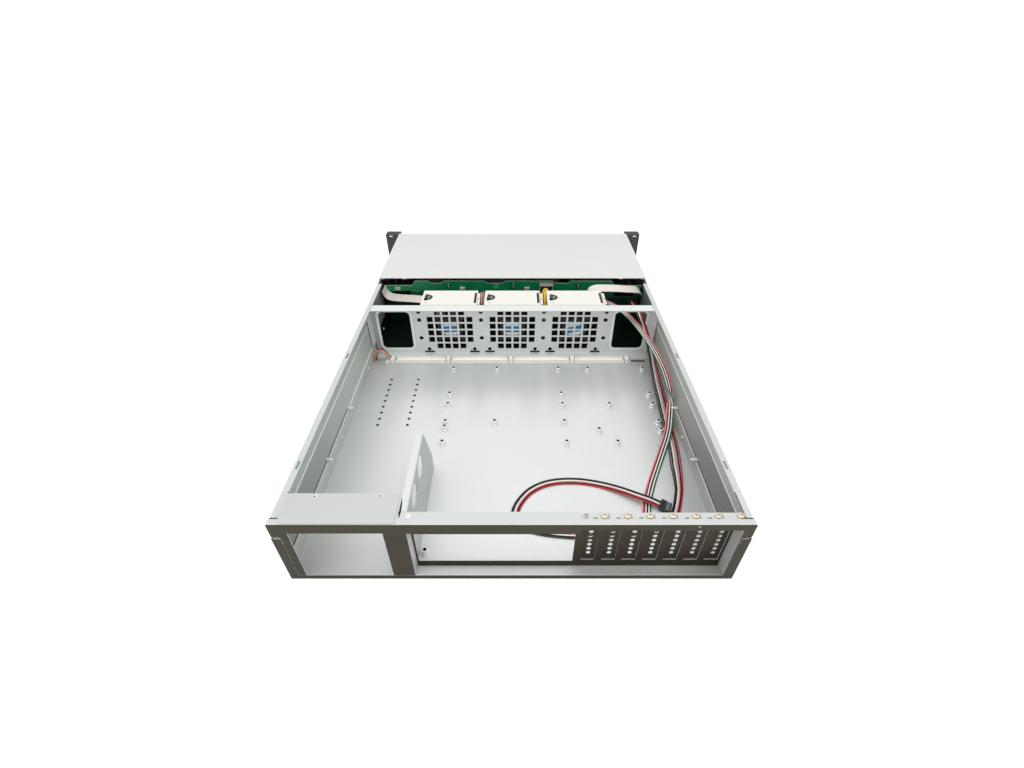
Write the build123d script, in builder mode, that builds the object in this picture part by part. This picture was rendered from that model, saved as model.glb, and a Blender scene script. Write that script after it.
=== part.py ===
"""A rackmount server case, two rack units high, with its top cover off.

The case has four columns of three drive trays behind the front, a backplane
board, a wall of three fans, an empty mainboard bay and an empty power supply bay.
The frame has +Z up and the front faces -Y, so +X is to the right of a person who
stands before the front. The origin is the middle of the case's box, on its underside.
"""

import math
import os

from build123d import *

os.makedirs("parts", exist_ok=True)

# Case
case_width = 434.0
case_height = 88.0
case_depth = 656.0  # from the rear face to the front edge of the drive lid
ear_overhang = 24.3  # of each ear beyond its wall
ear_stand = 11.6  # the ears stand this far in front of the drive lid
sheet = 1.2
bend = 1.8  # outside radius of a fold
clearance = 0.3  # between pieces that move or are fitted

# Side walls
wall_flange = 8.0
joggle = 1.4  # the upper wall steps in, so that the cover's skirt lies flush
joggle_drop = 22.0  # from the case's top down to the step
joggle_bend = 1.3
rear_return = 9.0  # width of rear face that each wall folds round
flange_setback = 7.0  # the upper walls stop this far before the rear face
pan_flange = 22.3  # height of the floor pan's upturned sides
cover_slot_length = 11.0
cover_slot_width = 2.4
cover_slots_at = (70.2, 255.5)
rivet_radius = 2.4
rivets_at = (60.0, 185.0, 330.0, 440.0)
last_rivet_from_front = 56.0
rivet_height = 11.0

# Rear
rear_channel = 14.5  # depth of the folded channel along the rear top edge
lip_height = 12.0
slot_lip_height = 7.5
lip_hole = (-165.3, 3.4, 1.2)  # X, drop from the case's top and radius
ledge_drop = 3.4  # the slot ledge lies this far under the channel's top
ledge_start = 6.5
sill_height = 6.0
psu_window = (114.8, 200.0)
divider = (95.0, 114.0)
io_window = (-60.0, 92.0)
io_window_heights = (10.0, 54.5)
slot_edge = -62.0  # where the plain channel steps down to the slot ledge
slot_count = 7
slot_pitch = 20.32
first_slot_x = -74.6
slot_cover_width = 18.6
slot_cover_sheet = 0.9
slot_window_inset = 2.5
slot_screw_offset = 8.0
slot_screw_from_rear = 9.3
vent_radius = 2.1
vent_count = 6
vent_pitch = 6.8
top_vent_drop = 31.1  # from the case's top to the highest hole of a slot cover
screw_head_radius = 2.7
screw_head_height = 2.0

# Power supply bay
bracket_x = 94.0
bracket_top_flange = 7.0
bracket_floor_flange = 12.0
bracket_top_length = 116.0
bracket_foot_length = 142.0
bracket_slant_height = 25.0
bracket_hole_radius = 13.0
bracket_holes_at = (47.0, 84.0)
bracket_hole_height = 69.0
plate_inner_x = 103.0
plate_depth = 34.4
plate_chamfer = 9.0

# Mainboard bay: columns and rows of threaded posts, the rows measured from the rear face
post_height = 6.8
post_radius = 3.4
post_bore_radius = 1.5
column_a = 88.5
column_b_step = 157.48
column_c_step = 281.94
first_row = 27.1
row_2_step = 154.94
row_3_step = 227.33
extra_posts = (
    (-112.9, 204.5), (-193.4, 204.0), (88.5, 209.6), (-133.4, 182.0),
    (88.5, 220.0), (23.4, 220.0), (-69.0, 220.0), (-193.4, 220.0), (-133.4, 254.4),
    (88.5, 277.3), (-69.0, 277.3), (-193.4, 277.3),
    (88.5, 336.2), (23.4, 336.2), (-69.0, 336.2), (-112.9, 336.2), (-196.0, 336.2),
)
tie_hole_radius = 2.0
tie_hole_columns = (178.5, 139.0)
tie_hole_count = 9
tie_hole_pitch = 12.2
tie_holes_at = 266.7  # the middle of the rows

# Fan wall and fans
fan_wall_from_rear = 384.0
fan_wall_flange = 16.0
fan_wall_top_half = 207.0
fan_pitch = 95.0
fan_size = 80.0
fan_depth = 38.0
fan_height = 44.8  # of the fans' middle
fan_bore_radius = 38.2
fan_screw_pitch = 71.5
fan_screw_radius = 2.15
hub_radius = 19.0
motor_depth = 7.0
blade_count = 5
blade_thickness = 1.8
blade_root_pitch = 32.0
blade_tip_pitch = 55.0
shaft_radius = 1.5
bearing_radius = 5.0
strut_width = 4.0
grille_pitch = 12.0
grille_hole = 9.0
grille_rows = (4, 6, 6, 6, 6, 4)  # holes in each row, from the top
window_x = (154.6, 202.0)
window_heights = (11.5, 76.0)
window_corner = 6.5
window_rim = (3.8, 0.8)  # width and height of the raised rim
wall_holes_x = (47.5, 141.0)
wall_hole_heights = (75.6, 61.8, 29.7)
wall_hole_radius = 2.4
fan_slot = (15.0, 2.0)
fan_slot_height = 4.4
carrier_wall = 2.0
carrier_depth = 44.0
carrier_finger = 7.0
trough_width = 11.0
trough_height = 5.0
trough_wall = 1.2
trough_x = (-182.0, 195.5)
trough_clips_at = (-176.2, -92.2, 2.6, 99.0, 184.6)
trough_clip_width = 8.0

# Backplane
backplane_from_rear = 475.0
board_sheet = 2.0
board_side_gap = 4.0  # from the board's ends to the walls
board_high_drop = 6.0  # from the case's top to the board's raised edge
board_notch_drop = 10.0
board_low_drop = 14.0
board_foot = 4.0
board_raised = (-162.0, 159.5)  # the stretch of the top edge that reaches board_high
board_notches = ((117.5, 133.5), (17.0, 41.0), (-91.0, -70.0))
board_ramp = 5.0
drive_socket = (42.0, 7.0, 7.5)
board_air = (34.0, 10.0)
lead_header = (14.0, 7.0, 4.0)
lead_headers_at = ((-146.0, 58.0), (-199.0, 46.0))
power_block = (22.0, 16.0, 12.0)
power_block_at = (-55.0, 70.0)

# Drive bays
lid_before_board = 4.0  # the lid's rear edge lies this far behind the backplane
lid_skirt = 20.0
lid_tab = (7.0, 1.5)
lid_tabs_x = 175.0
flange_gap = 18.0  # the wall's flange is cut away behind the lid's rear edge
bay_columns = 4
bay_rows = 3
bay_pitch = 106.0
bay_headroom = 5.2  # of the case's height, under and over the stack of trays
bay_sheet = 1.0
ledge = 3.0
ledge_sheet = 0.8
weld_gap = 0.05
bay_foot = 1.2
bays_margin = 6.0  # the bays end this far behind the lid's front edge
tray_behind_board = 11.0
tray_rail = 1.2
tray_rail_drop = 7.6  # of the rails' height under the rows' pitch
tray_lip = 6.0
bezel_stand = 6.0  # the bezels stand this far in front of the lid
bezel_depth = 12.0
bezel_window_width = 78.0
bezel_window_drop = 12.6  # of the window's height under the rows' pitch
lever_drop = 8.2  # of the lever's height under the rows' pitch
lever_thickness = 3.6
lever_back = 0.9  # air behind a closed lever
lever_end_margin = 3.5
lever_pin_radius = 1.2
lever_pin_reach = 1.3
lever_pin_play = 0.15
lever_grip = 7.0
lever_windows = 4
lever_bar = 3.0
lever_window_margin = 3.0

# Ears and buttons
ear_depth = 16.8
ear_leg = 52.0
ear_leg_sheet = 1.2
rack_hole_in = 8.75  # from the ear's outer edge
rack_hole_drop = 5.9  # from the case's top and underside
rack_slot = (10.0, 6.8)
button_radius = 4.0
button_travel = 1.2
button_sink = 0.4  # the button's face lies under the ear's face
button_well = 7.0
power_button_height = 52.0
reset_button_height = 38.0

# Cords
lead_diameter = 3.0
plug_size = (12.0, 13.0, 5.2)
ribbon_width = 14.0
ribbon_thickness = 1.2

# Places that follow from the sizes above
total_depth = case_depth + ear_stand
joggle_height = case_height - joggle_drop
lid_from_rear = backplane_from_rear - lid_before_board
bays_end = case_depth - bays_margin
row_pitch = (case_height - bay_headroom) / bay_rows
tray_rail_height = row_pitch - tray_rail_drop
lever_height = row_pitch - lever_drop
tray_from_rear = backplane_from_rear + board_sheet + tray_behind_board
bezel_front = case_depth + bezel_stand
y_rear = total_depth / 2
half = case_width / 2
wall_inside = half - sheet
board_half = wall_inside - board_side_gap
board_high = case_height - board_high_drop
board_notch = case_height - board_notch_drop
board_low = case_height - board_low_drop
upper_inside = half - joggle - sheet
top = case_height - sheet  # upper face of every flange that carries the cover
floor_top = sheet
lid_edge_y = y_rear - case_depth


def at(distance):
    """The Y of a place that lies this far in front of the rear face."""
    return y_rear - distance


def save(piece, name):
    piece.part.label = name
    export_step(piece.part, f"parts/{name}.step")


def span(low, high):
    """The length and the middle of a stretch."""
    return abs(high - low), (low + high) / 2


# Floor pan: one sheet with its two sides and a low rear sill folded up
with BuildPart() as floor_pan:
    with BuildSketch(Plane.XZ.offset(-at(sheet))):
        with BuildLine():
            FilletPolyline(
                (-wall_inside, pan_flange), (-wall_inside, 0), (wall_inside, 0), (wall_inside, pan_flange),
                radius=bend,
            )
            offset(amount=sheet, side=Side.LEFT)
        make_face()
    extrude(amount=case_depth - sheet)
    with BuildSketch(Plane.XZ.offset(-at(0))):
        with Locations((0, sill_height / 2)):
            Rectangle(2 * (half - rear_return - clearance), sill_height)
    extrude(amount=sheet)
    with BuildSketch(Plane.XY):
        for x in tie_hole_columns:
            with Locations((x, at(tie_holes_at))):
                with GridLocations(1, tie_hole_pitch, 1, tie_hole_count):
                    Circle(tie_hole_radius)
    extrude(amount=sheet, mode=Mode.SUBTRACT)
save(floor_pan, "floor_pan")


wrap_low = joggle_height + 2 * joggle + clearance  # underside of the rear panel's wrapped corners


def side_wall(side):
    """A side wall with its top flange, cover step and rear return; side is 1 or -1 along X."""
    turn = Side.LEFT if side > 0 else Side.RIGHT
    upper = half - joggle
    with BuildPart() as wall:
        with BuildSketch(Plane.XZ.offset(-at(0))):
            with BuildLine():
                FilletPolyline(
                    (side * half, 0),
                    (side * half, joggle_height),
                    (side * upper, joggle_height + joggle),
                    (side * upper, top),
                    (side * (half - wall_flange - joggle), top),
                    radius=[joggle_bend, joggle_bend, bend],
                )
                offset(amount=sheet, side=turn)
            make_face()
        extrude(amount=case_depth)
        with BuildSketch(Plane.XZ.offset(-at(0))):
            with Locations((side * (half - (sheet + rear_return) / 2), joggle_height / 2)):
                Rectangle(rear_return - sheet, joggle_height)
        extrude(amount=sheet)
        # the cover's hooks drop into slots in the flange, and the lid's corner needs a gap in it
        with BuildSketch(Plane.XY.offset(top - 2 * sheet)):
            inner, outer = half - wall_flange - 2 * joggle, half - joggle - bend
            for distance in cover_slots_at:
                with Locations((side * (half - joggle - wall_flange / 2 - 1), at(distance))):
                    Rectangle(cover_slot_width, cover_slot_length)
            with Locations((side * (inner + outer) / 2, at(lid_from_rear - flange_gap / 2))):
                Rectangle(outer - inner, flange_gap)
        extrude(amount=3 * sheet, mode=Mode.SUBTRACT)
        with BuildSketch(Plane.XY.offset(wrap_low - clearance)):
            with Locations((side * (half - wall_flange), at(flange_setback / 2))):
                Rectangle(2 * wall_flange, flange_setback)
        extrude(amount=case_height, mode=Mode.SUBTRACT)
        fillet(
            wall.edges().filter_by(Axis.Z).group_by(Axis.Y)[-1].sort_by(Axis.X)[-1 if side > 0 else 0],
            radius=bend / 2,
        )
    return wall


save(side_wall(-1), "left_side_wall")
save(side_wall(1), "right_side_wall")


# Rear panel: a channel along the top that steps down to the slot ledge, with the
# recessed board wall below it and the framed power supply opening beside it
panel_half = half - max(rear_return, wall_flange + joggle) - clearance
ledge_top = top - ledge_drop
with BuildPart() as rear_panel:
    # board opening: plain channel
    with BuildSketch(Plane.YZ.offset(slot_edge)):
        with BuildLine():
            Polyline(
                (at(rear_channel), floor_top),
                (at(rear_channel), top),
                (at(0), top),
                (at(0), top - lip_height),
            )
            offset(amount=sheet, side=Side.RIGHT, kind=Kind.INTERSECTION)
        make_face()
    extrude(amount=divider[0] - slot_edge)
    # slots: the channel steps down to a ledge for the covers' tabs
    with BuildSketch(Plane.YZ.offset(slot_edge)):
        with BuildLine():
            Polyline(
                (at(rear_channel), floor_top),
                (at(rear_channel), ledge_top),
                (at(ledge_start), ledge_top),
                (at(ledge_start), top),
                (at(0), top),
                (at(0), top - slot_lip_height),
            )
            offset(amount=sheet, side=Side.RIGHT, kind=Kind.INTERSECTION)
        make_face()
    extrude(amount=-(panel_half + slot_edge))
    # power supply: the whole rear face with its opening, and the channel's top
    with BuildSketch(Plane.YZ.offset(divider[0])):
        with BuildLine():
            Polyline((at(rear_channel), top), (at(0), top), (at(0), sill_height + clearance))
            offset(amount=sheet, side=Side.RIGHT, kind=Kind.INTERSECTION)
        make_face()
    extrude(amount=panel_half - divider[0])
    width, window_middle = span(*psu_window)
    with BuildSketch(Plane.XZ.offset(-at(0))):
        with Locations((window_middle, (top - lip_height + sill_height + clearance) / 2)):
            Rectangle(width, top - lip_height - sill_height - clearance)
    extrude(amount=sheet, mode=Mode.SUBTRACT)
    # returns that close the recess at both ends
    for x in (divider[0], -panel_half + sheet):
        with BuildSketch(Plane.YZ.offset(x)):
            with Locations((at(rear_channel / 2), (ledge_top + floor_top) / 2)):
                Rectangle(rear_channel, ledge_top - floor_top)
            with Locations((at(sheet / 2), sill_height / 2)):
                Rectangle(sheet, sill_height + 2 * clearance, mode=Mode.SUBTRACT)
        extrude(amount=-sheet)
    # board connector window, and one narrow window behind each slot cover
    width, middle = span(*io_window)
    with BuildSketch(Plane.XZ.offset(-at(0))):
        with Locations((middle, sum(io_window_heights) / 2)):
            Rectangle(width, io_window_heights[1] - io_window_heights[0])
        for number in range(slot_count):
            with Locations((first_slot_x - number * slot_pitch, (sill_height + joggle_height) / 2)):
                Rectangle(slot_cover_width - 2 * slot_window_inset, joggle_height - 3 * sill_height)
    extrude(amount=rear_channel + sheet, mode=Mode.SUBTRACT)
    # corners wrapped over the ends of both side walls
    for side in (-1, 1):
        corner, middle = span(panel_half, half - joggle)
        with BuildSketch(Plane.XZ.offset(-at(0))):
            with Locations((side * middle, (wrap_low + top) / 2)):
                Rectangle(corner, top - wrap_low)
        extrude(amount=sheet)
        with BuildSketch(Plane.XZ.offset(-at(0))):
            with Locations((side * middle, top - sheet / 2)):
                Rectangle(corner, sheet)
            with Locations((side * (half - joggle - sheet / 2), (wrap_low + top) / 2)):
                Rectangle(sheet, top - wrap_low)
        extrude(amount=flange_setback - clearance)
    with BuildSketch(Plane.XZ.offset(-at(0))):
        with Locations((lip_hole[0], case_height - lip_hole[1])):
            Circle(lip_hole[2])
    extrude(amount=sheet, mode=Mode.SUBTRACT)
    fillet(
        rear_panel.edges().filter_by(Axis.X).group_by(Axis.Z)[-1].group_by(Axis.Y)[-1],
        radius=bend / 2,
    )
save(rear_panel, "rear_panel")

# Slot covers: a plate against the recessed wall, with its tab bent over the ledge
with BuildPart() as slot_covers:
    for number in range(slot_count):
        x = first_slot_x - number * slot_pitch
        with BuildSketch(Plane.XY.offset(ledge_top)):
            with Locations((x, at((ledge_start + rear_channel) / 2 + clearance / 2))):
                Rectangle(slot_cover_width, rear_channel - ledge_start - clearance)
        extrude(amount=slot_cover_sheet)
        with BuildSketch(Plane.XZ.offset(-at(rear_channel))):
            with Locations((x, (sill_height + ledge_top + slot_cover_sheet) / 2)):
                Rectangle(slot_cover_width, ledge_top + slot_cover_sheet - sill_height)
        extrude(amount=slot_cover_sheet)
        with BuildSketch(Plane.XZ.offset(-at(rear_channel))):
            for row in range(vent_count):
                with Locations((x, case_height - top_vent_drop - row * vent_pitch)):
                    Circle(vent_radius)
        extrude(amount=slot_cover_sheet, mode=Mode.SUBTRACT)
save(slot_covers, "slot_covers")

# Slot screws: pan heads on the tabs
with BuildPart() as slot_screws:
    for number in range(slot_count):
        x = first_slot_x - number * slot_pitch - slot_screw_offset
        with BuildSketch(Plane.XY.offset(ledge_top + slot_cover_sheet)):
            with Locations((x, at(slot_screw_from_rear + 1))):
                Circle(screw_head_radius)
        extrude(amount=screw_head_height)
    chamfer(slot_screws.faces().group_by(Axis.Z)[-1].edges(), length=0.5)
save(slot_screws, "slot_screws")


# Power supply bay: a channel-shaped bracket, and a plate that closes the rear corner
with BuildPart() as psu_bracket:
    with BuildSketch(Plane.XZ.offset(-at(rear_channel + clearance))):
        with BuildLine():
            FilletPolyline(
                (bracket_x + bracket_floor_flange, floor_top),
                (bracket_x, floor_top),
                (bracket_x, top),
                (bracket_x + bracket_top_flange, top),
                radius=bend,
            )
            offset(amount=sheet, side=Side.RIGHT)
        make_face()
    extrude(amount=bracket_foot_length - rear_channel - clearance)
    # the front edge slants down to the foot
    with BuildSketch(Plane.YZ.offset(bracket_x - sheet)):
        with BuildLine():
            Polyline(
                (at(bracket_top_length), top + sheet),
                (at(bracket_top_length), top - 2 * sheet),
                (at(bracket_foot_length), bracket_slant_height),
                (at(bracket_foot_length + sheet), bracket_slant_height),
                (at(bracket_foot_length + sheet), top + sheet),
                close=True,
            )
        make_face()
    extrude(amount=bracket_top_flange + bracket_floor_flange, mode=Mode.SUBTRACT)
    with BuildSketch(Plane.YZ.offset(bracket_x - sheet)):
        for distance in bracket_holes_at:
            with Locations((at(distance), bracket_hole_height)):
                Circle(bracket_hole_radius)
    extrude(amount=3 * sheet, mode=Mode.SUBTRACT)
save(psu_bracket, "psu_bracket")

with BuildPart() as psu_top_plate:
    outer_x = half - rear_return
    with BuildSketch(Plane.XY.offset(top)):
        with BuildLine():
            Polyline(
                (plate_inner_x, at(sheet)),
                (outer_x - plate_chamfer / 2, at(sheet)),
                (outer_x, at(plate_chamfer)),
                (outer_x, at(plate_depth)),
                (plate_inner_x, at(plate_depth)),
                close=True,
            )
        make_face()
    extrude(amount=sheet)
save(psu_top_plate, "psu_top_plate")

# Mainboard posts: turned posts pressed into the floor
post_rows = (first_row, first_row + row_2_step, first_row + row_3_step)
post_columns = (column_a, column_a - column_b_step, column_a - column_c_step)
board_pattern = tuple((x, row) for row in post_rows for x in post_columns if row != post_rows[1])
board_pattern += tuple((x, post_rows[1]) for x in post_columns[:2])
with BuildPart() as board_standoffs:
    with BuildSketch(Plane.XY.offset(floor_top)):
        for x, distance in board_pattern + extra_posts:
            with Locations((x, at(distance))):
                Circle(post_radius)
                Circle(post_bore_radius, mode=Mode.SUBTRACT)
    extrude(amount=post_height)
save(board_standoffs, "board_standoffs")


# Fan wall: a sheet with its four edges folded towards the rear, a square grille
# before each fan and a cable window at each end
fan_x = [(number - 1) * fan_pitch for number in range(3)]
wall_face = at(fan_wall_from_rear)
with BuildPart() as fan_wall:
    wall_half = upper_inside - clearance / 2
    with BuildSketch(Plane.XZ.offset(-wall_face)):
        with BuildLine():
            Polyline(
                (-wall_half + sheet, floor_top),
                (wall_half - sheet, floor_top),
                (wall_half - sheet, pan_flange + clearance),
                (wall_half, pan_flange + 2 * clearance),
                (wall_half, top - 2 * sheet),
                (fan_wall_top_half, top - 2 * sheet),
                (fan_wall_top_half, top),
                (-fan_wall_top_half, top),
                (-fan_wall_top_half, top - 2 * sheet),
                (-wall_half, top - 2 * sheet),
                (-wall_half, pan_flange + 2 * clearance),
                (-wall_half + sheet, pan_flange + clearance),
                close=True,
            )
        make_face()
    extrude(amount=sheet)
    with BuildSketch(Plane.XZ.offset(-wall_face)):
        with Locations((0, top - sheet / 2)):
            Rectangle(2 * fan_wall_top_half, sheet)
        with Locations((0, floor_top + sheet / 2)):
            Rectangle(2 * (wall_half - sheet), sheet)
        for side in (-1, 1):
            with Locations((side * (wall_half - sheet / 2), (top + pan_flange) / 2 - sheet)):
                Rectangle(sheet, top - pan_flange - 3 * sheet)
    extrude(amount=-fan_wall_flange)
    fillet(
        fan_wall.edges().filter_by(Axis.X).group_by(Axis.Z)[-1].group_by(Axis.Y)[0],
        radius=bend / 2,
    )
    rim_width, rim_height = window_rim
    width, window_middle = span(*window_x)
    tall, height = span(*window_heights)
    with BuildSketch(Plane.XZ.offset(-wall_face)):
        for side in (-1, 1):
            with Locations((side * window_middle, height)):
                RectangleRounded(width + 2 * rim_width, tall + 2 * rim_width, window_corner + rim_width)
    extrude(amount=-rim_height)
    with BuildSketch(Plane.XZ.offset(-wall_face - rim_height)):
        for side in (-1, 1):
            with Locations((side * window_middle, height)):
                RectangleRounded(width, tall, window_corner)
    extrude(amount=rim_height + sheet, mode=Mode.SUBTRACT)
    with BuildSketch(Plane.XZ.offset(-wall_face)):
        for centre in fan_x:
            for row, holes in enumerate(grille_rows):
                height = fan_height + (len(grille_rows) - 1 - 2 * row) * grille_pitch / 2
                with Locations((centre, height)):
                    with GridLocations(grille_pitch, 1, holes, 1):
                        Rectangle(grille_hole, grille_hole)
            for side in (-1, 1):
                with Locations((centre + side * fan_screw_pitch / 2, fan_height - fan_screw_pitch / 2)):
                    Circle(fan_screw_radius)
                with Locations((centre + side * fan_screw_pitch / 2, fan_slot_height)):
                    Rectangle(*fan_slot)
        for side in (-1, 1):
            for x in wall_holes_x:
                for height in wall_hole_heights:
                    with Locations((side * x, height)):
                        Circle(wall_hole_radius)
    extrude(amount=sheet, mode=Mode.SUBTRACT)
save(fan_wall, "fan_wall")


# Fans: a square frame with its motor held by four struts at the rear, and a bladed rotor
fan_rear = wall_face - sheet - clearance


def fan_frame(centre):
    with BuildPart() as frame:
        with BuildSketch(Plane.XZ.offset(-fan_rear)):
            with Locations((centre, fan_height)):
                RectangleRounded(fan_size, fan_size, 3)
                Circle(fan_bore_radius, mode=Mode.SUBTRACT)
                with GridLocations(fan_screw_pitch, fan_screw_pitch, 2, 2):
                    Circle(fan_screw_radius, mode=Mode.SUBTRACT)
        extrude(amount=fan_depth)
        # the waist between the two mounting flanges
        with BuildSketch(Plane.XZ.offset(-(fan_rear - strut_width))):
            with Locations((centre, fan_height)):
                Rectangle(fan_size + 2, fan_size + 2)
                Circle(fan_size / 2 - 0.4, mode=Mode.SUBTRACT)
        extrude(amount=fan_depth - 2 * strut_width, mode=Mode.SUBTRACT)
        strut_start = hub_radius + weld_gap
        strut_end = math.sqrt((fan_bore_radius - weld_gap) ** 2 - strut_width**2 / 4)
        strut_length, strut_middle = span(strut_start, strut_end)
        with BuildSketch(Plane.XZ.offset(-fan_rear)):
            with Locations((centre, fan_height)):
                Circle(hub_radius)
                with PolarLocations(strut_middle, 4, start_angle=45):
                    Rectangle(strut_length, strut_width)
        extrude(amount=strut_width)
        with BuildSketch(Plane.XZ.offset(-(fan_rear - strut_width))):
            with Locations((centre, fan_height)):
                Circle(hub_radius)
        extrude(amount=motor_depth - strut_width)
        with BuildSketch(Plane.XZ.offset(-(fan_rear - motor_depth))):
            with Locations((centre, fan_height)):
                Circle(bearing_radius)
        extrude(amount=fan_depth / 2 - motor_depth + 4)
        with BuildSketch(Plane.XZ.offset(-(fan_rear - motor_depth + 1))):
            with Locations((centre, fan_height)):
                Circle(shaft_radius + clearance / 2)
        extrude(amount=fan_depth / 2 + 6, mode=Mode.SUBTRACT)
    return frame


def fan_rotor(centre):
    cup_start = fan_rear - motor_depth - 2 * clearance
    cup_end = fan_rear - fan_depth + 1.5
    blade_tip = fan_bore_radius - 1.0
    blade_width = cup_start - cup_end - 3
    with BuildPart() as rotor:
        with BuildSketch(Plane.XZ.offset(-cup_start)):
            with Locations((centre, fan_height)):
                Circle(hub_radius - clearance)
                Circle(bearing_radius + 6, mode=Mode.SUBTRACT)
        extrude(amount=cup_start - cup_end)
        with BuildSketch(Plane.XZ.offset(-(cup_end + 3))):
            with Locations((centre, fan_height)):
                Circle(hub_radius - 1)
        extrude(amount=3)
        with BuildSketch(Plane.XZ.offset(-(cup_start - 1))):
            with Locations((centre, fan_height)):
                Circle(shaft_radius)
        extrude(amount=cup_start - cup_end - 2)
        for number in range(blade_count):
            turn = Plane((centre, 0, fan_height)).rotated((0, number * 360 / blade_count, 0))
            middle = (cup_start + cup_end) / 2
            for radius, pitch in ((hub_radius - 2, blade_root_pitch), (blade_tip, blade_tip_pitch)):
                origin = turn.from_local_coords((radius, middle, 0))
                with BuildSketch(Plane(origin=origin, x_dir=(0, 1, 0), z_dir=turn.x_dir)):
                    Rectangle(blade_width, blade_thickness, rotation=pitch)
            loft()
        with BuildSketch(Plane.XZ.offset(-cup_start)):
            with Locations((centre, fan_height)):
                Circle(blade_tip)
        extrude(amount=cup_start - cup_end, mode=Mode.INTERSECT)
    return rotor


def fan_carrier(centre):
    """The moulded carrier that lies over a fan, with a finger hole and a latch slot in its top."""
    outer = fan_size + 2 * (clearance + carrier_wall)
    rear = wall_face - sheet - clearance
    under = fan_height + fan_size / 2 + clearance
    with BuildPart() as carrier:
        with BuildSketch(Plane.XZ.offset(-rear)):
            with Locations((centre, (floor_top + clearance + under + carrier_wall) / 2)):
                Rectangle(outer, under + carrier_wall - floor_top - clearance)
            with Locations((centre, (floor_top + under) / 2)):
                Rectangle(fan_size + 2 * clearance, under - floor_top, mode=Mode.SUBTRACT)
        extrude(amount=carrier_depth)
        fillet(carrier.edges().filter_by(Axis.Y).group_by(Axis.Z)[-1], radius=1.6)
        with BuildSketch(Plane.XY.offset(under)):
            with Locations((centre + outer / 2, rear - carrier_depth * 0.45)):
                Ellipse(carrier_finger * 1.3, carrier_finger)
            with Locations((centre - outer / 2 + 4, rear - carrier_depth / 2)):
                Rectangle(1.6, carrier_depth * 0.7)
        extrude(amount=carrier_wall * 2, mode=Mode.SUBTRACT)
    return carrier


for number, centre in enumerate(fan_x, start=1):
    save(fan_frame(centre), f"fan_frame_{number}")
    save(fan_rotor(centre), f"fan_rotor_{number}")
    save(fan_carrier(centre), f"fan_carrier_{number}")

# Cable trough: a moulded channel on the floor against the fan wall's foot, with clips over it
trough_from_rear = fan_wall_from_rear - fan_wall_flange - clearance - trough_width / 2
with BuildPart() as cable_trough:
    with BuildSketch(Plane.YZ.offset(trough_x[0])):
        with Locations((at(trough_from_rear), floor_top + trough_height / 2)):
            Rectangle(trough_width, trough_height)
        with Locations((at(trough_from_rear), floor_top + trough_wall + trough_height / 2)):
            Rectangle(trough_width - 2 * trough_wall, trough_height, mode=Mode.SUBTRACT)
    extrude(amount=trough_x[1] - trough_x[0])
    with BuildSketch(Plane.XY.offset(floor_top + trough_height)):
        for x in trough_clips_at:
            with Locations((x, at(trough_from_rear))):
                Rectangle(trough_clip_width, trough_width)
    extrude(amount=trough_wall)
save(cable_trough, "cable_trough")

# Drive lid: the fixed front part of the top, folded down over both upper walls
with BuildPart() as drive_lid:
    with BuildSketch(Plane.XZ.offset(-at(lid_from_rear))):
        with BuildLine():
            FilletPolyline(
                (-half, case_height - lid_skirt),
                (-half, case_height),
                (half, case_height),
                (half, case_height - lid_skirt),
                radius=bend,
            )
            offset(amount=sheet, side=Side.RIGHT)
        make_face()
    extrude(amount=case_depth - lid_from_rear)
    with BuildSketch(Plane.XY.offset(top)):
        for side in (-1, 1):
            with Locations((side * lid_tabs_x, at(lid_from_rear - lid_tab[1] / 2))):
                Rectangle(*lid_tab)
    extrude(amount=sheet)
save(drive_lid, "drive_lid")

# Drive bays: upright sheets with folded ledges that carry the trays
bays_from_rear = backplane_from_rear + board_sheet
bay_x = [(number - (bay_columns - 1) / 2) * bay_pitch for number in range(bay_columns)]
ledge_tops = [floor_top + bay_foot + number * row_pitch for number in range(bay_rows)]
sheet_top = top - sheet
with BuildPart() as bay_dividers:
    with BuildSketch(Plane.XZ.offset(-at(bays_from_rear))):
        for number in range(bay_columns + 1):
            x = (number - bay_columns / 2) * bay_pitch
            with Locations((x, (floor_top + sheet_top) / 2)):
                Rectangle(bay_sheet, sheet_top - floor_top)
            sides = [side for side in (-1, 1) if 0 <= number + (side - 1) / 2 < bay_columns]
            for side in sides:
                ledge_x = x + side * (bay_sheet / 2 + weld_gap + ledge / 2)
                for height in ledge_tops:
                    with Locations((ledge_x, height - ledge_sheet / 2)):
                        Rectangle(ledge, ledge_sheet)
    extrude(amount=bays_end - bays_from_rear)
save(bay_dividers, "bay_dividers")

# Backplane: the board that the drives plug into, its top edge stepped between the bays
tray_height = row_pitch - ledge_sheet - 2 * clearance
tray_middle = [height + clearance + tray_height / 2 for height in ledge_tops]
raised_low, raised_high = board_raised
with BuildPart() as backplane:
    with BuildSketch(Plane.XZ.offset(-at(backplane_from_rear))):
        with BuildLine():
            Polyline(
                (-board_half, board_foot),
                (-board_half, board_low),
                (raised_low - board_ramp, board_low),
                (raised_low, board_high),
                (raised_high, board_high),
                (raised_high + board_ramp, board_low),
                (board_half, board_low),
                (board_half, board_foot),
                close=True,
            )
        make_face()
        for low, high in board_notches:
            with BuildLine():
                Polyline(
                    (low - board_ramp, board_high + 1),
                    (low, board_notch),
                    (high, board_notch),
                    (high + board_ramp, board_high + 1),
                    close=True,
                )
            make_face(mode=Mode.SUBTRACT)
        for x in bay_x:
            with Locations((x, tray_middle[1])):
                with GridLocations(bay_pitch / 2, row_pitch, 2, bay_rows - 1):
                    Rectangle(*board_air, mode=Mode.SUBTRACT)
    extrude(amount=board_sheet)
save(backplane, "backplane")

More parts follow.
